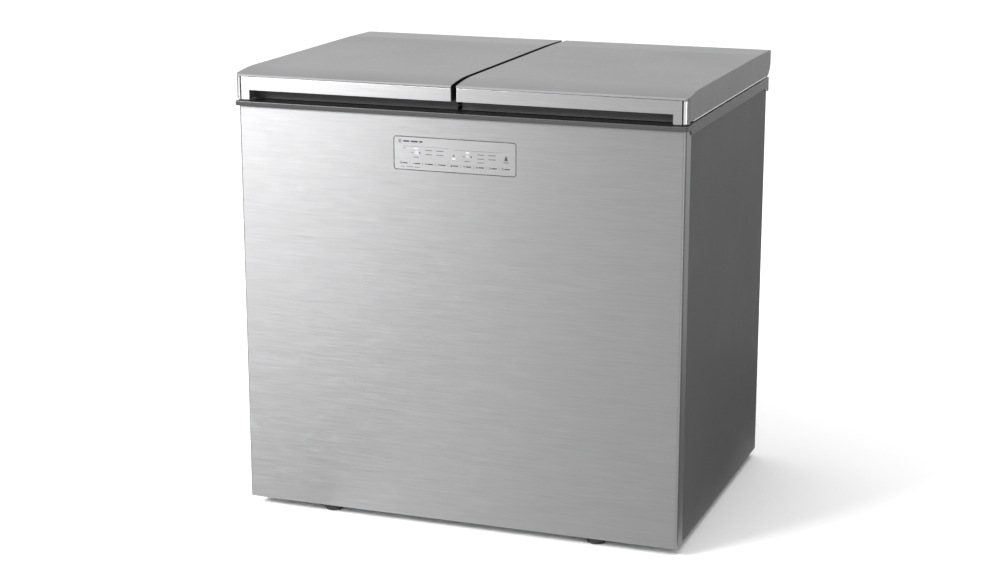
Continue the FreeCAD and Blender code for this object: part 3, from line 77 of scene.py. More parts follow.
# name, left edge, right edge, front edge, back edge, grey
FLOOR_FLAGS = (
    ("near_floor_flag", RIGHT_FLAG_START, FLAG_RIGHT, FLAG_FRONT, FLAG_FAR, 0.17),
    ("far_floor_flag", RIGHT_FLAG_START, FLAG_RIGHT, FLAG_FAR, FLAG_BACK, 0.42),
    ("front_floor_flag", FLAG_LEFT, FLAG_RIGHT, FLAG_AHEAD, FLAG_NEAR, 0.86),
    ("low_left_flag", FLAG_LEFT, FLAG_SPLIT, FLAG_NEAR, FLAG_FOOT, 0.42),
    ("low_right_flag", FLAG_SPLIT, FLAG_RIGHT, FLAG_NEAR, FLAG_FOOT, 0.76))
# name, place, target, width, height, radiance
SOFTBOXES = (
    ("front_left_light", (-3.45, -3.6, 3.0), (0.0, -0.3, 0.8), 3.4, 1.6, 32.0),
    ("corner_light", (3.1, -2.7, 1.0), (0.46, -0.34, 0.6), 0.2, 2.2, 7.0))


def add_camera():
    """Long lens in front of the freezer, to its right and above it."""
    data = bpy.data.cameras.new("camera")
    data.lens = CAMERA_LENS
    data.sensor_width = SENSOR_WIDTH
    data.clip_start = 0.05
    data.clip_end = 200.0
    camera = bpy.data.objects.new("camera", data)
    bpy.context.scene.collection.objects.link(camera)
    forward = Vector((-math.sin(CAMERA_YAW) * math.cos(CAMERA_PITCH),
                      math.cos(CAMERA_YAW) * math.cos(CAMERA_PITCH),
                      -math.sin(CAMERA_PITCH)))
    camera.location = CAMERA_PLACE
    camera.rotation_mode = "QUATERNION"
    camera.rotation_quaternion = forward.to_track_quat("-Z", "Y")
    bpy.context.scene.camera = camera


def add_softbox(name, place, target, width, height, radiance):
    """Rectangular lamp of an even radiance, turned towards a point."""
    data = bpy.data.lights.new(name, "AREA")
    data.shape = "RECTANGLE"
    data.size = width
    data.size_y = height
    data.energy = radiance * math.pi * width * height
    lamp = bpy.data.objects.new(name, data)
    lamp.location = place
    aim = Vector(target) - Vector(place)
    lamp.rotation_mode = "QUATERNION"
    lamp.rotation_quaternion = aim.to_track_quat("-Z", "Y")
    bpy.context.scene.collection.objects.link(lamp)


def add_overhead():
    """Wide soft light from straight above, even all over the floor."""
    data = bpy.data.lights.new("overhead", "SUN")
    data.energy = OVERHEAD_LIGHT * math.pi
    data.angle = OVERHEAD_SPREAD
    lamp = bpy.data.objects.new("overhead", data)
    lamp.location = (0.0, 0.0, 5.0)
    bpy.context.scene.collection.objects.link(lamp)


def add_flag(name, corners, grey):
    """Matt card that only mirror reflections see, as a studio uses to darken one side."""
    mesh = bpy.data.meshes.new(name)
    mesh.from_pydata([tuple(c) for c in corners], [], [(0, 1, 2, 3)])
    card = bpy.data.objects.new(name, mesh)
    bpy.context.scene.collection.objects.link(card)
    material = bpy.data.materials.new(name)
    material.use_nodes = True
    shader = material.node_tree.nodes["Principled BSDF"]
    shader.inputs["Base Color"].default_value = (0.0, 0.0, 0.0, 1.0)
    shader.inputs["Specular IOR Level"].default_value = 0.0
    shader.inputs["Emission Color"].default_value = (grey, grey, grey, 1.0)
    shader.inputs["Emission Strength"].default_value = 1.0
    mesh.materials.append(material)
    card.visible_camera = False
    card.visible_diffuse = False
    card.visible_shadow = False
    card.visible_transmission = False


def add_world():
    """Even pale surroundings."""
    world = bpy.data.worlds.new("studio")
    world.use_nodes = True
    background = world.node_tree.nodes["Background"]
    background.inputs["Color"].default_value = (1.0, 1.0, 1.0, 1.0)
    background.inputs["Strength"].default_value = WORLD_STRENGTH
    bpy.context.scene.world = world


def add_lights():
    """Overhead light, a wide softbox at the front left, a strip at the right, grey cards."""
    add_world()
    add_overhead()
    for softbox in SOFTBOXES:
        add_softbox(*softbox)
    for name, left, right, start, end, grey in FLOOR_FLAGS:
        add_flag(name, [(left, start, FLAG_LIFT), (right, start, FLAG_LIFT),
                        (right, end, FLAG_LIFT), (left, end, FLAG_LIFT)], grey)
    for name, x, start, grey in (("right_flag", FLAG_RIGHT, FLAG_FRONT, RIGHT_FLAG_GREY),
                                 ("left_flag", FLAG_LEFT, FLAG_NEAR, LEFT_FLAG_GREY)):
        add_flag(name, [(x, start, 0.0), (x, FLAG_BACK, 0.0),
                        (x, FLAG_BACK, FLAG_HEIGHT), (x, start, FLAG_HEIGHT)], grey)


def add_floor():
    """Plain white floor."""
    half = FLOOR_SIZE / 2
    mesh = bpy.data.meshes.new("floor")
    mesh.from_pydata([(-half, -half, 0), (half, -half, 0), (half, half, 0), (-half, half, 0)], [],
                     [(0, 1, 2, 3)])
    floor = bpy.data.objects.new("floor", mesh)
    bpy.context.scene.collection.objects.link(floor)
    paint = Finish("studio_floor")
    paint.set("Specular IOR Level", 0.0)
    cloud = paint.noise((0.8, 0.8, 0.8), 3.0)
    paint.colour(paint.mix(cloud, (0.94, 0.94, 0.94), (0.96, 0.96, 0.96)))
    paint.roughness(paint.spread(cloud, 0.85, 0.95))
    mesh.materials.append(paint.material)


# ------------------------------------------------------------------ material building


class Finish:
    """One procedural material, read in the object's own coordinates, in metres."""

    def __init__(self, name):
        self.material = bpy.data.materials.new(name)
        self.material.use_nodes = True
        self.tree = self.material.node_tree
        self.shader = self.tree.nodes["Principled BSDF"]
        self.place = self.add("ShaderNodeTexCoord").outputs["Object"]

    def add(self, kind, **settings):
        node = self.tree.nodes.new(kind)
        for key, value in settings.items():
            setattr(node, key, value)
        return node

    def join(self, source, socket):
        """Puts an output, a number or a colour on an input."""
        if isinstance(source, (int, float)):
            socket.default_value = source
        elif isinstance(source, tuple):
            socket.default_value = source + (1.0,) if len(source) == 3 else source
        else:
            self.tree.links.new(source, socket)

    def set(self, name, value):
        """A value that is the same all over the surface."""
        self.shader.inputs[name].default_value = value

    def mapped(self, scale, turn=(0.0, 0.0, 0.0)):
        node = self.add("ShaderNodeMapping")
        node.inputs["Scale"].default_value = scale
        node.inputs["Rotation"].default_value = turn
        self.join(self.place, node.inputs["Vector"])
        return node.outputs["Vector"]

    def noise(self, scale, detail=2.0, rough=0.5, distortion=0.0, turn=(0.0, 0.0, 0.0)):
        """Cloudy pattern; scale is features per metre along each axis."""
        node = self.add("ShaderNodeTexNoise")
        self.join(self.mapped(scale, turn), node.inputs["Vector"])
        node.inputs["Scale"].default_value = 1.0
        node.inputs["Detail"].default_value = detail
        node.inputs["Roughness"].default_value = rough
        node.inputs["Distortion"].default_value = distortion
        return node.outputs["Fac"]

    def cells(self, scale, feature="F1", output="Distance"):
        """Cell pattern; scale is cells per metre along each axis."""
        node = self.add("ShaderNodeTexVoronoi", feature=feature)
        self.join(self.mapped(scale), node.inputs["Vector"])
        node.inputs["Scale"].default_value = 1.0
        return node.outputs[output]

    def spread(self, value, low, high, start=0.0, end=1.0):
        """Maps start..end to low..high, held at both ends."""
        node = self.add("ShaderNodeMapRange")
        self.join(value, node.inputs["Value"])
        self.join(start, node.inputs["From Min"])
        self.join(end, node.inputs["From Max"])
        self.join(low, node.inputs["To Min"])
        self.join(high, node.inputs["To Max"])
        return node.outputs["Result"]

    def maths(self, operation, a, b):
        node = self.add("ShaderNodeMath", operation=operation)
        self.join(a, node.inputs[0])
        self.join(b, node.inputs[1])
        return node.outputs[0]

    def mix(self, factor, a, b):
        """Colour between a and b."""
        node = self.add("ShaderNodeMix", data_type="RGBA")
        self.join(factor, node.inputs[0])
        self.join(a, node.inputs[6])
        self.join(b, node.inputs[7])
        return node.outputs[2]

    def axis(self, name):
        """One coordinate of the place, X, Y or Z."""
        node = self.add("ShaderNodeSeparateXYZ")
        self.join(self.place, node.inputs[0])
        return node.outputs[name]

    def within(self, name, reach):
        """1 where a coordinate is nearer 0 than reach, on both sides of the middle."""
        across = self.maths("ABSOLUTE", self.axis(name), 0.0)
        return self.maths("LESS_THAN", across, reach)

    def beyond(self, name, limit, operation="GREATER_THAN"):
        """1 where a coordinate is past a limit."""
        return self.maths(operation, self.axis(name), limit)

    def edges(self, radius):
        """1 on sharp edges, falling to 0 about a radius away."""
        bevel = self.add("ShaderNodeBevel", samples=4)
        bevel.inputs["Radius"].default_value = radius
        true = self.add("ShaderNodeNewGeometry").outputs["Normal"]
        dot = self.add("ShaderNodeVectorMath", operation="DOT_PRODUCT")
        self.join(bevel.outputs["Normal"], dot.inputs[0])
        self.join(true, dot.inputs[1])
        return self.spread(dot.outputs["Value"], 1.0, 0.0, 0.75, 0.99)

    def colour(self, source):
        self.join(source, self.shader.inputs["Base Color"])

    def base(self):
        """What feeds the base colour so far."""
        return self.shader.inputs["Base Color"].links[0].from_socket

    def roughness(self, source):
        self.join(source, self.shader.inputs["Roughness"])

    def bump(self, height, distance, strength=1.0):
        """Adds relief of a real height in metres; calls stack."""
        node = self.add("ShaderNodeBump")
        node.inputs["Distance"].default_value = distance
        node.inputs["Strength"].default_value = strength
        self.join(height, node.inputs["Height"])
        normal = self.shader.inputs["Normal"]
        if normal.is_linked:
            self.join(normal.links[0].from_socket, node.inputs["Normal"])
        self.join(node.outputs["Normal"], normal)


def shade(colour, factor):
    """The colour made lighter or darker."""
    return tuple(min(1.0, c * factor) for c in colour)


def brushed_metal(name, colour, roughness, streak=14.0, grain=1300.0, anisotropy=0.8):
    """Metal with fine grain along X, slow tone changes, faint hand marks, and edges lightened in
    patches by rubbing and by painted highlight.
    """
    finish = Finish(name)
    fine = finish.noise((streak, grain, grain), 4.0, 0.6)
    broad = finish.noise((streak * 0.35, grain * 0.3, grain * 0.3), 2.0)
    cloud = finish.noise((3.0, 3.0, 3.0), 3.0, 0.55)
    grained = finish.mix(finish.spread(fine, 0.0, 1.0, 0.3, 0.7), shade(colour, 0.90),
                         shade(colour, 1.08))
    toned = finish.mix(finish.spread(broad, 0.0, 0.5, 0.35, 0.65), grained, shade(colour, 0.98))
    # Lighter edges: partly rubbed metal, partly painted highlight.
    edge_rub_and_highlight = finish.maths("MULTIPLY", finish.edges(1.2 * MM),
                        finish.spread(cloud, 0.1, 0.7, 0.4, 0.7))
    finish.colour(finish.mix(edge_rub_and_highlight, toned, shade(colour, 1.35)))
    marks = finish.noise((22.0, 22.0, 34.0), 5.0, 0.7, 0.6)
    level = finish.spread(fine, roughness - 0.025, roughness + 0.025, 0.3, 0.7)
    smudge = finish.spread(marks, 0.0, 0.03, 0.55, 0.75)
    finish.roughness(finish.maths("ADD", level, smudge))
    finish.set("Metallic", 1.0)
    finish.set("Anisotropic", anisotropy)
    finish.set("Anisotropic Rotation", 0.25)
    tangent = finish.add("ShaderNodeTangent", direction_type="RADIAL", axis="Z")
    finish.join(tangent.outputs[0], finish.shader.inputs["Tangent"])
    finish.bump(fine, 0.006 * MM)
    finish.bump(cloud, 0.03 * MM, 0.3)
    return finish


def painted_sheet(name, colour, roughness, specular=0.5, peel=420.0, coat=0.0, scuff_top=0.16):
    """Sprayed sheet: orange peel, slow tone changes, scuffs low down, and edges lightened as bare
    rubbed patches and painted highlight.
    """
    finish = Finish(name)
    skin = finish.noise((peel, peel, peel), 2.0, 0.45)
    cloud = finish.noise((4.0, 4.0, 4.0), 3.0, 0.55)
    dust = finish.noise((260.0, 260.0, 260.0), 4.0, 0.7)
    scratch = finish.noise((180.0, 30.0, 900.0), 3.0, 0.7, 0.4, (0.35, 0.0, 0.2))
    low = finish.spread(finish.axis("Z"), 1.0, 0.15, 0.02, scuff_top)
    scuffs = finish.maths("MULTIPLY", finish.spread(scratch, 0.0, 0.55, 0.62, 0.78), low)
    base = finish.mix(finish.spread(cloud, 0.0, 1.0, 0.35, 0.65), shade(colour, 0.95),
                      shade(colour, 1.05))
    dusty = finish.mix(finish.spread(dust, 0.0, 0.18, 0.6, 0.8), base, shade(colour, 1.5))
    scuffed = finish.mix(scuffs, dusty, shade(colour, 1.8))
    # Lighter edges: partly bare rubbed paint, partly painted highlight.
    edge_rub_and_highlight = finish.maths("MULTIPLY", finish.edges(0.8 * MM),
                        finish.spread(cloud, 0.0, 0.8, 0.45, 0.6))
    finish.colour(finish.mix(edge_rub_and_highlight, scuffed, shade(colour, 1.7)))
    level = finish.spread(cloud, roughness - 0.04, roughness + 0.05, 0.35, 0.65)
    finish.roughness(finish.maths("ADD", level, finish.spread(dust, 0.0, 0.12, 0.55, 0.8)))
    finish.set("Specular IOR Level", specular)
    finish.set("Coat Weight", coat)
    finish.set("Coat Roughness", 0.15)
    finish.bump(skin, 0.02 * MM)
    return finish


def moulded_plastic(name, colour, roughness, grain=1500.0, relief=0.02, specular=0.5, edge_rub_and_highlight_tone=1.35):
    """Moulded plastic with spark-eroded grain, flow clouds, and edges lightened by rubbing and by
    painted highlight.
    """
    finish = Finish(name)
    texture = finish.noise((grain, grain, grain), 3.0, 0.6)
    flow = finish.noise((9.0, 14.0, 9.0), 3.0, 0.6, 0.8)
    dust = finish.noise((320.0, 320.0, 320.0), 4.0, 0.7)
    base = finish.mix(finish.spread(flow, 0.0, 1.0, 0.3, 0.7), shade(colour, 0.94),
                      shade(colour, 1.06))
    grained = finish.mix(finish.spread(texture, 0.0, 0.35, 0.35, 0.7), base, shade(colour, 0.82))
    # Lighter edges: partly rubbed plastic, partly painted highlight.
    edge_rub_and_highlight = finish.maths("MULTIPLY", finish.edges(0.9 * MM),
                        finish.spread(flow, 0.15, 0.75, 0.4, 0.65))
    finish.colour(finish.mix(edge_rub_and_highlight, grained, shade(colour, edge_rub_and_highlight_tone)))
    level = finish.spread(texture, roughness - 0.05, roughness + 0.07, 0.3, 0.7)
    finish.roughness(finish.maths("ADD", level, finish.spread(dust, 0.0, 0.1, 0.55, 0.8)))
    finish.set("Specular IOR Level", specular)
    finish.bump(texture, relief * MM)
    return finish


# Painted shade: the faces along the seam between the lids are made nearly black.
SEAM_REACH = 5.5 * MM
SEAM_SHADE_TONE = (0.012, 0.012, 0.012)


def paint_seam_shade(finish):
    """Paints shade into the faces that line the seam between the lids: nearly black, standing in for
    the shadow in the gap.
    """
    source = finish.base()
    finish.colour(finish.mix(finish.within("X", SEAM_REACH), source, SEAM_SHADE_TONE))


# Painted shade over the lids' rounded front.
NOSE_START = -250.0 * MM
NOSE_END = -336.0 * MM
NOSE_SHADE = 0.78


def paint_nose_shade(finish):
    """Paints shade into the lids' colour over their rounded front, on top of the light's own
    shading.
    """
    source = finish.base()
    shade_of_nose = finish.add("ShaderNodeMix", data_type="RGBA", blend_type="MULTIPLY")
    finish.join(finish.spread(finish.axis("Y"), 1.0, 0.0, NOSE_END, NOSE_START),
                shade_of_nose.inputs[0])
    finish.join(source, shade_of_nose.inputs[6])
    finish.join((NOSE_SHADE, NOSE_SHADE, NOSE_SHADE), shade_of_nose.inputs[7])
    finish.colour(shade_of_nose.outputs[2])


# Painted light on the sloping band along the lids' back edge.
BAND_START = 226.5 * MM
BAND_PAINTED_LIGHT = 0.03


def paint_band_light(finish):
    """Paints light into the colour of the sloping band along the lids' back edge, making it a little
    paler.
    """
    source = finish.base()
    brighter = finish.add("ShaderNodeBrightContrast")
    finish.join(source, brighter.inputs["Color"])
    brighter.inputs["Bright"].default_value = BAND_PAINTED_LIGHT
    band = finish.beyond("Y", BAND_START)
    finish.colour(finish.mix(band, source, brighter.outputs["Color"]))


FINGER_HALF = 436.0 * MM
FINGER_BACK = -303.0 * MM
FRAME_TOP_FACE = 849.3 * MM
GAP_TONE = (0.006, 0.006, 0.006)


def darken_finger_floor(finish):
    """Makes the frame's top nearly black under the finger slots, where little light gets in."""
    source = finish.base()
    across = finish.within("X", FINGER_HALF)
    ahead = finish.beyond("Y", FINGER_BACK, "LESS_THAN")
    above = finish.beyond("Z", FRAME_TOP_FACE)
    shaded = finish.maths("MULTIPLY", finish.maths("MULTIPLY", across, ahead), above)
    finish.colour(finish.mix(shaded, source, GAP_TONE))


# Painted shade on the frame's front lip.
LIP_FACE = -346.0 * MM
LIP_SHADE_TONE = (0.03, 0.03, 0.031)


def paint_lip_shade(finish):
    """Paints shade on the frame's front lip, making it darker than its sides."""
    source = finish.base()
    finish.colour(finish.mix(finish.beyond("Y", LIP_FACE, "LESS_THAN"), source, LIP_SHADE_TONE))


def rubber(name, colour):
    """Matt rubber with a bloom of dust and fine mould marks."""
    finish = Finish(name)
    skin = finish.noise((900.0, 900.0, 900.0), 4.0, 0.65)
    bloom = finish.noise((60.0, 60.0, 60.0), 4.0, 0.6)
    finish.colour(finish.mix(finish.spread(bloom, 0.0, 0.6, 0.4, 0.75), colour, shade(colour, 1.8)))
    finish.roughness(finish.spread(skin, 0.62, 0.82, 0.3, 0.7))
    finish.set("Specular IOR Level", 0.3)
    finish.set("Sheen Weight", 0.05)
    finish.bump(skin, 0.04 * MM)
    return finish.material


def gasket_vinyl(name, colour):
    """Soft vinyl seal: smooth, slightly uneven, dirt held in its folds."""
    finish = Finish(name)
    ripple = finish.noise((40.0, 40.0, 200.0), 3.0, 0.5)
    dirt = finish.noise((120.0, 120.0, 300.0), 5.0, 0.7)
    finish.colour(finish.mix(finish.spread(dirt, 0.0, 0.45, 0.5, 0.8), colour, shade(colour, 0.6)))
    finish.roughness(finish.spread(ripple, 0.38, 0.52, 0.3, 0.7))
    finish.set("Subsurface Weight", 0.08)
    finish.bump(ripple, 0.12 * MM)
    return finish.material


def poured_foam(name, colour):
    """Rigid foam: closed cells, darker skin patches."""
    finish = Finish(name)
    pores = finish.cells((700.0, 700.0, 700.0))
    lumps = finish.noise((45.0, 45.0, 45.0), 5.0, 0.65)
    finish.colour(finish.mix(finish.spread(lumps, 0.0, 1.0, 0.35, 0.7), shade(colour, 0.75),
                             colour))
    finish.roughness(finish.spread(pores, 0.85, 0.98, 0.0, 0.6))
    finish.set("Specular IOR Level", 0.2)
    finish.bump(pores, 0.5 * MM, 0.7)
    finish.bump(lumps, 2.0 * MM, 0.4)
    return finish.material


def galvanised(name, colour):
    """Hot-dipped sheet: angular spangles that differ in tone and gloss."""
    finish = Finish(name)
    spangle = finish.cells((110.0, 110.0, 110.0), output="Color")
    tone = finish.add("ShaderNodeSeparateColor")
    finish.join(spangle, tone.inputs[0])
    crystal = tone.outputs[0]
    frost = finish.noise((500.0, 500.0, 500.0), 4.0, 0.7)
    stain = finish.noise((7.0, 7.0, 7.0), 4.0, 0.6, 0.5)
    base = finish.mix(crystal, shade(colour, 0.82), shade(colour, 1.12))
    dulled = finish.mix(finish.spread(frost, 0.0, 0.4, 0.45, 0.75), base, shade(colour, 0.7))
    finish.colour(finish.mix(finish.spread(stain, 0.0, 0.35, 0.55, 0.75), dulled,
                             shade(colour, 0.62)))
    level = finish.spread(crystal, 0.34, 0.52)
    finish.roughness(finish.maths("ADD", level, finish.spread(stain, 0.0, 0.15, 0.5, 0.8)))
    finish.set("Metallic", 0.9)
    finish.bump(frost, 0.02 * MM)
    return finish.material


def plated_steel(name, colour, roughness):
    """Zinc-plated part: fine stamping texture, edges brighter from rubbing and from painted
    highlight.
    """
    finish = Finish(name)
    drawn = finish.noise((300.0, 900.0, 900.0), 3.0, 0.6)
    film = finish.noise((50.0, 50.0, 50.0), 4.0, 0.6, 0.4)
    base = finish.mix(finish.spread(film, 0.0, 1.0, 0.35, 0.65), shade(colour, 0.86), colour)
    warm = (colour[0] * 1.05, colour[1] * 0.98, colour[2] * 0.84)
    tinted = finish.mix(finish.spread(film, 0.0, 0.35, 0.5, 0.8), base, warm)
    # Brighter edges: partly rubbed plating, partly painted highlight.
    edge_rub_and_highlight = finish.maths("MULTIPLY", finish.edges(0.5 * MM), 0.6)
    finish.colour(finish.mix(edge_rub_and_highlight, tinted, shade(colour, 1.2)))
    finish.roughness(finish.spread(drawn, roughness - 0.06, roughness + 0.1, 0.3, 0.7))
    finish.set("Metallic", 1.0)
    finish.bump(drawn, 0.015 * MM)
    return finish.material


def embossed_aluminium(name, colour):
    """Stucco-embossed sheet: close rounded pebbles pressed into bright metal."""
    finish = Finish(name)
    pebble = finish.cells((210.0, 210.0, 210.0), feature="SMOOTH_F1")
    fine = finish.noise((900.0, 900.0, 900.0), 3.0, 0.6)
    frost = finish.noise((5.0, 5.0, 3.0), 4.0, 0.6, 0.3)
    base = finish.mix(finish.spread(pebble, 0.0, 1.0, 0.1, 0.7), colour, shade(colour, 0.82))
    finish.colour(finish.mix(finish.spread(frost, 0.0, 0.3, 0.45, 0.75), base, shade(colour, 1.12)))
    finish.roughness(finish.spread(fine, 0.30, 0.42, 0.3, 0.7))
    finish.set("Metallic", 0.85)
    finish.bump(pebble, 0.45 * MM, 0.8)
    finish.bump(fine, 0.01 * MM)
    return finish.material


def drawn_tube(name, colour, tarnish, roughness):
    """Drawn soft metal tube, tarnished in patches."""
    finish = Finish(name)
    patch = finish.noise((38.0, 38.0, 38.0), 4.0, 0.65, 0.5)
    fine = finish.noise((700.0, 700.0, 700.0), 3.0, 0.6)
    finish.colour(finish.mix(finish.spread(patch, 0.0, 0.85, 0.42, 0.7), colour, tarnish))
    level = finish.spread(patch, roughness, roughness + 0.22, 0.4, 0.75)
    finish.roughness(finish.maths("ADD", level, finish.spread(fine, -0.03, 0.03, 0.3, 0.7)))
    finish.set("Metallic", 1.0)
    finish.bump(fine, 0.015 * MM)
    return finish.material


def polished_strip(name, colour):
    """Bright anodised strip with hairline polish marks along its height."""
    finish = Finish(name)
    hair = finish.noise((1600.0, 1600.0, 25.0), 3.0, 0.6)
    smear = finish.noise((40.0, 40.0, 60.0), 4.0, 0.6)
    finish.colour(finish.mix(finish.spread(hair, 0.0, 1.0, 0.3, 0.7), shade(colour, 0.92), colour))
    level = finish.spread(hair, 0.10, 0.18, 0.3, 0.7)
    finish.roughness(finish.maths("ADD", level, finish.spread(smear, 0.0, 0.08, 0.5, 0.8)))
    finish.set("Metallic", 1.0)
    finish.bump(hair, 0.004 * MM)
    return finish.material


def circuit_board(name, colour):
    """Solder-masked board with copper tracks showing through."""
    finish = Finish(name)
    tracks = finish.cells((260.0, 260.0, 260.0), feature="DISTANCE_TO_EDGE")
    weave = finish.noise((1200.0, 1200.0, 1200.0), 2.0)
    lines = finish.spread(tracks, 1.0, 0.0, 0.03, 0.07)
    finish.colour(finish.mix(lines, colour, shade(colour, 2.2)))
    finish.roughness(finish.spread(weave, 0.25, 0.4, 0.3, 0.7))
    finish.bump(lines, 0.03 * MM)
    return finish.material


def printed_ink(name, colour):
    """Screen-printed ink with slightly uneven cover."""
    finish = Finish(name)
    cover = finish.noise((2500.0, 2500.0, 2500.0), 3.0, 0.6)
    finish.colour(finish.mix(finish.spread(cover, 0.0, 0.5, 0.4, 0.75), colour, shade(colour, 1.6)))
    finish.roughness(finish.spread(cover, 0.45, 0.6, 0.3, 0.7))
    finish.bump(cover, 0.01 * MM)
    return finish.material


def lamp_segment(name, colour, glow):
    """Lit segment behind frosted film, its glow mottled by the frost."""
    finish = Finish(name)
    frost = finish.noise((1800.0, 1800.0, 1800.0), 2.0)
    lit = finish.mix(finish.spread(frost, 0.0, 1.0, 0.3, 0.7), shade(colour, 0.9), colour)
    finish.colour(lit)
    finish.join(lit, finish.shader.inputs["Emission Color"])
    finish.set("Emission Strength", glow)
    finish.roughness(finish.spread(frost, 0.3, 0.45))
    return finish.material


# ------------------------------------------------------------------ finishes of the CAD pieces

STEEL = (0.365, 0.365, 0.37)
TRIM = (0.45, 0.45, 0.455)
OVERLAY = (0.38, 0.38, 0.385)
LID_GREY = (0.205, 0.205, 0.208)
SIDE_GREY = (0.076, 0.076, 0.078)
FRAME_GREY = (0.066, 0.066, 0.068)
MOULDING_GREY = (0.155, 0.155, 0.159)


def sheet_finishes():
    """Brushed, painted and moulded outer materials, with painted shade on the lids' rounded front
    and seam, the trim's seam faces, the frame's front lip and its top under the finger slots, and
    painted light on the lids' back band.
    """
    made = {
        "front_steel": brushed_metal("front_steel", STEEL, 0.36),
        "trim_steel": brushed_metal("trim_steel", TRIM, 0.33),
        "overlay": brushed_metal("overlay", OVERLAY, 0.38, 14.0, 1500.0),
        "side_paint": painted_sheet("side_paint", SIDE_GREY, 0.46, 0.22),
        "lid_skin": painted_sheet("lid_skin", LID_GREY, 0.38, 0.35, 520.0, 0.0, -1.0),
        "compressor_black": painted_sheet("compressor_black", (0.018, 0.018, 0.019), 0.32, 0.5,
                                          300.0),
        "frame_plastic": moulded_plastic("frame_plastic", FRAME_GREY, 0.34, 1500.0, 0.02, 0.6),
        "housing_plastic": moulded_plastic("housing_plastic", (0.03, 0.03, 0.032), 0.5),
        "fan_plastic": moulded_plastic("fan_plastic", (0.028, 0.028, 0.03), 0.48),
        "recess_plastic": moulded_plastic("recess_plastic", (0.085, 0.085, 0.088), 0.5, 1300.0,
                                          0.03, 0.3),
        "moulding": moulded_plastic("moulding", MOULDING_GREY, 0.42, 1500.0, 0.02, 0.35),
        "white_plastic": moulded_plastic("white_plastic", (0.64, 0.65, 0.65), 0.34, 900.0, 0.01,
                                         0.5, 1.1),
        "foot_black": moulded_plastic("foot_black", (0.016, 0.016, 0.017), 0.42, 1200.0, 0.03),
        "basket_plastic": moulded_plastic("basket_plastic", (0.66, 0.68, 0.68), 0.36, 1100.0,
                                          0.015, 0.5, 1.1),
    }
    paint_nose_shade(made["lid_skin"])
    paint_band_light(made["lid_skin"])
    paint_seam_shade(made["lid_skin"])
    paint_seam_shade(made["trim_steel"])
    paint_lip_shade(made["frame_plastic"])
    darken_finger_floor(made["frame_plastic"])
    return {name: finish.material for name, finish in made.items()}


def finishes():
    """Every material, by the name of the record's slot."""
    made = sheet_finishes()
    made.update({
        "galvanised": galvanised("galvanised", (0.52, 0.53, 0.54)),
        "foam": poured_foam("foam", (0.62, 0.50, 0.28)),
        "liner_metal": embossed_aluminium("liner_metal", (0.74, 0.75, 0.76)),
        "board_green": circuit_board("board_green", (0.02, 0.14, 0.06)),
        "copper": drawn_tube("copper", (0.72, 0.36, 0.22), (0.30, 0.13, 0.08), 0.28),
        "coil_aluminium": drawn_tube("coil_aluminium", (0.68, 0.69, 0.70), (0.42, 0.42, 0.42), 0.3),
        "rubber": rubber("rubber", (0.02, 0.02, 0.021)),
        "zinc": plated_steel("zinc", (0.62, 0.62, 0.60), 0.34),
        "bright_strip": polished_strip("bright_strip", (0.80, 0.80, 0.81)),
        "gasket": gasket_vinyl("gasket", (0.46, 0.46, 0.46)),
    })
    return made


def slot_of_nodes():
    """Material slot of each CAD node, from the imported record."""
    return {part["node"]: part["material_slot"] for part in frame["record"]["subparts"]}


def dress_nodes(materials):
    """Gives every CAD node its finish."""
    for node, slot in slot_of_nodes().items():
        mesh = frame["nodes"][node].data
        mesh.materials.clear()
        mesh.materials.append(materials[slot])


# ------------------------------------------------------------------ small solid shapes


def solid(name, build, material, body):
    """Makes one mesh piece with a bmesh function and lets it ride on a body."""
    bm = bmesh.new()
    build(bm)
    bmesh.ops.recalc_face_normals(bm, faces=bm.faces)
    mesh = bpy.data.meshes.new(name)
    bm.to_mesh(mesh)
    bm.free()
    mesh.materials.append(material)
    piece = bpy.data.objects.new(name, mesh)
    bpy.context.scene.collection.objects.link(piece)
    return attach(piece, body)


INK = 0.08 * MM


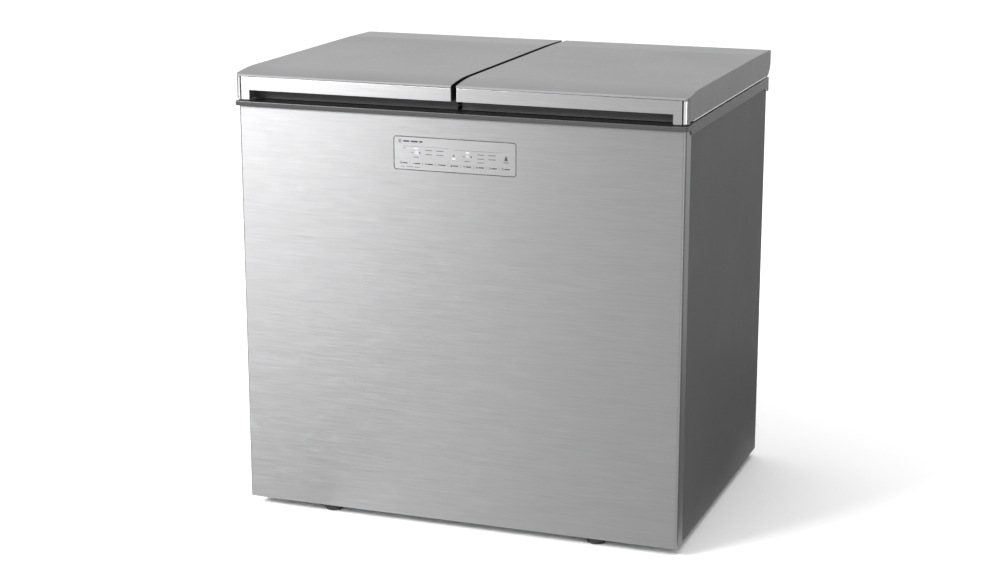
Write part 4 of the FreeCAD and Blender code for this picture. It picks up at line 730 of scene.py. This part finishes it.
class Print:
    """Thin raised print on a plate that faces -Y; points are (x, z) in millimetres."""

    def __init__(self, bm, face_y):
        self.bm = bm
        self.back = face_y
        self.front = face_y - INK

    def shape(self, points):
        """Closed outline as a thin solid."""
        near = [self.bm.verts.new((x * MM, self.front, z * MM)) for x, z in points]
        far = [self.bm.verts.new((x * MM, self.back, z * MM)) for x, z in points]
        self.bm.faces.new(near)
        self.bm.faces.new(list(reversed(far)))
        for i in range(len(points)):
            j = (i + 1) % len(points)
            self.bm.faces.new([near[j], near[i], far[i], far[j]])

    def band(self, outer, inner):
        """Closed band between two outlines with as many points each."""
        for i in range(len(outer)):
            j = (i + 1) % len(outer)
            self.shape([outer[i], outer[j], inner[j], inner[i]])

    def bar(self, x, z, width, height, radius=None):
        """Bar with rounded ends, centred on (x, z)."""
        radius = min(width, height) / 2 if radius is None else radius
        self.shape(rounded(x, z, width, height, radius, 4))

    def ring(self, x, z, radius, width):
        self.band(circle(x, z, radius, 28), circle(x, z, radius - width, 28))

    def disc(self, x, z, radius):
        self.shape(circle(x, z, radius, 20))

    def stroke(self, x0, z0, x1, z1, width):
        """Straight line of an even width."""
        length = math.hypot(x1 - x0, z1 - z0)
        nx = -(z1 - z0) / length * width / 2
        nz = (x1 - x0) / length * width / 2
        self.shape([(x0 + nx, z0 + nz), (x1 + nx, z1 + nz), (x1 - nx, z1 - nz), (x0 - nx, z0 - nz)])

    def digit(self, value, x, z, height):
        """Seven-segment digit centred on (x, z)."""
        wide = height * 0.5
        line = height * 0.13
        places = {"a": (0, 1, 1), "b": (1, 0.5, 0), "c": (1, -0.5, 0), "d": (0, -1, 1),
                  "e": (-1, -0.5, 0), "f": (-1, 0.5, 0), "g": (0, 0, 1)}
        for letter in SEGMENTS[value]:
            dx, dz, flat = places[letter]
            size = (wide - 1.4 * line, line) if flat else (line, height / 2 - 1.2 * line)
            self.bar(x + dx * wide / 2, z + dz * (height - line) / 2, size[0], size[1])


SEGMENTS = {"1": "bc", "4": "bcfg", "8": "abcdefg"}


def circle(x, z, radius, count):
    turn = 2 * math.pi / count
    return [(x + radius * math.cos(i * turn), z + radius * math.sin(i * turn)) for i in range(count)]


def rounded(x, z, width, height, radius, steps):
    """Outline of a rectangle with rounded corners."""
    points = []
    corners = [(1, 1, 0.0), (-1, 1, 0.5), (-1, -1, 1.0), (1, -1, 1.5)]
    for sx, sz, start in corners:
        cx = x + sx * (width / 2 - radius)
        cz = z + sz * (height / 2 - radius)
        for i in range(steps + 1):
            a = math.pi * (start + 0.5 * i / steps)
            points.append((cx + radius * math.cos(a), cz + radius * math.sin(a)))
    return points


# ------------------------------------------------------------------ control panel print


KEY_COUNT = 9
KEY_FIRST = -106.0
KEY_PITCH = 26.4


def key_symbols(ink, z):
    """Nine touch keys in a row: a plain sign and a short bar each, with thin lines between."""
    for i in range(KEY_COUNT):
        x = KEY_FIRST + KEY_PITCH * i
        sign_x = x - 6.0
        ink.bar(x + 2.8, z, 11.5, 2.2)
        if i > 0:
            ink.stroke(x - KEY_PITCH / 2, z - 3.4, x - KEY_PITCH / 2, z + 3.4, 0.45)
        if i in (0, 8):
            ink.ring(sign_x, z, 2.2, 0.6)
            ink.stroke(sign_x, z - 0.2, sign_x, z + 2.9, 0.7)
        elif i in (1, 5):
            ink.stroke(sign_x - 2.2, z, sign_x + 2.2, z, 0.8)
            if i == 5:
                ink.stroke(sign_x, z - 2.2, sign_x, z + 2.2, 0.8)
        elif i in (2, 6):
            for k in range(3):
                a = math.pi * k / 3
                ink.stroke(sign_x - 2.3 * math.cos(a), z - 2.3 * math.sin(a),
                           sign_x + 2.3 * math.cos(a), z + 2.3 * math.sin(a), 0.5)
        elif i in (3, 7):
            ink.ring(sign_x, z, 2.2, 0.5)
            ink.stroke(sign_x, z, sign_x + 1.3, z, 0.5)
            ink.stroke(sign_x, z, sign_x, z + 1.5, 0.5)
        else:
            ink.bar(sign_x, z - 0.7, 3.6, 2.6, 0.4)
            ink.ring(sign_x, z + 1.0, 1.4, 0.5)


def zone_print(ink, x, z, low_row):
    """Marks round one compartment's display: signs at its sides, legend bars to its right."""
    ink.stroke(x - 26.0, z + 12.0, x + 70.0, z + 12.0, 0.35)
    ink.stroke(x - 9.4, z, x - 6.0, z, 1.3)
    ink.stroke(x + 6.0, z, x + 9.4, z, 1.3)
    ink.stroke(x + 7.7, z - 1.7, x + 7.7, z + 1.7, 1.3)
    ink.bar(x, z - 9.0, 12.0, 1.0)
    for row in (5.5, -2.5) if not low_row else (5.5, -2.5, -10.0):
        ink.bar(x + 27.0, z + row, 14.0, 1.1)
        if row > -5:
            ink.bar(x + 50.0, z + row, 15.0, 1.1)


def control_print(bm):
    """All dark print on the control plate."""
    low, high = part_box("control_overlay")
    ink = Print(bm, low.y)
    x_mid = (low.x + high.x) / 2 / MM
    z_mid = (low.z + high.z) / 2 / MM
    width = (high.x - low.x) / MM
    height = (high.z - low.z) / MM
    ink.band(rounded(x_mid, z_mid, width - 0.3, height - 0.3, 5.4, 6),
             rounded(x_mid, z_mid, width - 2.7, height - 2.7, 4.2, 6))
    top = z_mid + height / 2
    for side in (-1, 1):
        ink.stroke(-113.5 + 2.4 * side, top - 12.4, -113.5 + 2.4 * side, top - 6.0, 0.8)
        ink.stroke(-116.3, top - 9.2 + 3.1 * side, -110.7, top - 9.2 + 3.1 * side, 0.8)
    ink.disc(-113.5, top - 9.2, 1.4)
    for x, wide in ((-100.0, 13.0), (-83.5, 15.0), (-69.5, 7.0)):
        ink.bar(x, top - 9.4, wide, 3.2, 0.7)
    ink.bar(-104.0, top - 23.0, 5.0, 1.0)
    zone_print(ink, -80.0, top - 31.0, False)
    zone_print(ink, 27.0, top - 33.0, True)
    ink.ring(-1.5, top - 32.5, 2.2, 0.6)
    ink.disc(-1.5, top - 32.5, 0.8)
    tree_x, tree_z = 106.0, top - 33.0
    for half, z in ((4.6, -3.2), (3.6, -0.4), (2.4, 2.4)):
        ink.shape([(tree_x - half, tree_z + z), (tree_x + half, tree_z + z),
                   (tree_x, tree_z + z + 4.2)])
    ink.bar(tree_x, tree_z - 6.6, 11.0, 1.3)
    key_symbols(ink, top - 52.5)
    ink.bar(-108.0, top - 59.6, 9.0, 0.9)
    ink.bar(-93.5, top - 59.6, 14.0, 0.9)
    ink.bar(-78.0, top - 59.6, 11.0, 0.9)


def control_lamps(bm):
    """Lit digits and pilot lamps of the two displays."""
    low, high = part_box("control_overlay")
    lamp = Print(bm, low.y)
    top = high.z / MM
    for x, z, digits in ((-80.0, top - 31.0, "18"), (27.0, top - 33.0, "4")):
        step = 5.0
        start = x - step * (len(digits) - 1) / 2
        for i, value in enumerate(digits):
            lamp.digit(value, start + step * i, z, 7.0)
        lamp.bar(x, z + 8.0, 8.5, 1.8)
    lamp.bar(-1.5, top - 38.5, 8.0, 1.8)


# ------------------------------------------------------------------ lid hinge springs


def coil_points(middle, mean, turns, pitch, leg):
    """Centreline of a torsion spring round an axis along X, with a straight leg at each end."""
    per_turn = 24
    count = int(turns * per_turn)
    start = middle.x - turns * pitch / 2
    points = [Vector((start, middle.y + leg, middle.z - mean))]
    for i in range(count + 1):
        a = 2 * math.pi * i / per_turn
        points.append(Vector((start + pitch * i / per_turn, middle.y - mean * math.sin(a),
                              middle.z - mean * math.cos(a))))
    points.append(Vector((start + pitch * turns, middle.y + leg, middle.z - mean)))
    return points


def sweep(bm, points, radius, sides=10):
    """Round wire along the points."""
    rings = []
    side = None
    for i, point in enumerate(points):
        ahead = points[min(i + 1, len(points) - 1)] - points[max(i - 1, 0)]
        ahead.normalize()
        if side is None:
            side = ahead.orthogonal().normalized()
        side = (side - ahead * side.dot(ahead)).normalized()
        other = ahead.cross(side)
        ring = []
        for k in range(sides):
            a = 2 * math.pi * k / sides
            ring.append(bm.verts.new(point + (side * math.cos(a) + other * math.sin(a)) * radius))
        rings.append(ring)
    for a, b in zip(rings, rings[1:]):
        for k in range(sides):
            face = bm.faces.new([a[k], a[(k + 1) % sides], b[(k + 1) % sides], b[k]])
            face.smooth = True
    bm.faces.new(list(reversed(rings[0])))
    bm.faces.new(rings[-1])


HINGE_PLACES = (-390.0, -75.0, 75.0, 390.0)
HINGE_AXIS_Y = 286.5
HINGE_AXIS_Z = 900.0


def hinge_springs(bm):
    """Four torsion springs, one on each hinge pin."""
    for x in HINGE_PLACES:
        middle = Vector((x * MM, HINGE_AXIS_Y * MM, HINGE_AXIS_Z * MM))
        sweep(bm, coil_points(middle, 4.2 * MM, 8, 1.8 * MM, 2.4 * MM), 0.82 * MM)


# ------------------------------------------------------------------ assembly


def build():
    """Dresses the CAD pieces and adds the print and the springs."""
    materials = finishes()
    dress_nodes(materials)
    ink = printed_ink("panel_ink", (0.028, 0.028, 0.03))
    glow = lamp_segment("panel_lamps", (0.52, 0.54, 0.55), 0.05)
    solid("control_print", control_print, ink, "cabinet")
    solid("control_lamps", control_lamps, glow, "cabinet")
    springs = solid("hinge_coil_springs", hinge_springs, materials["zinc"], "cabinet")
    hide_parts("lid_hinge_springs")


bpy.context.scene.view_settings.view_transform = "Standard"
add_camera()
add_lights()
add_floor()
build()
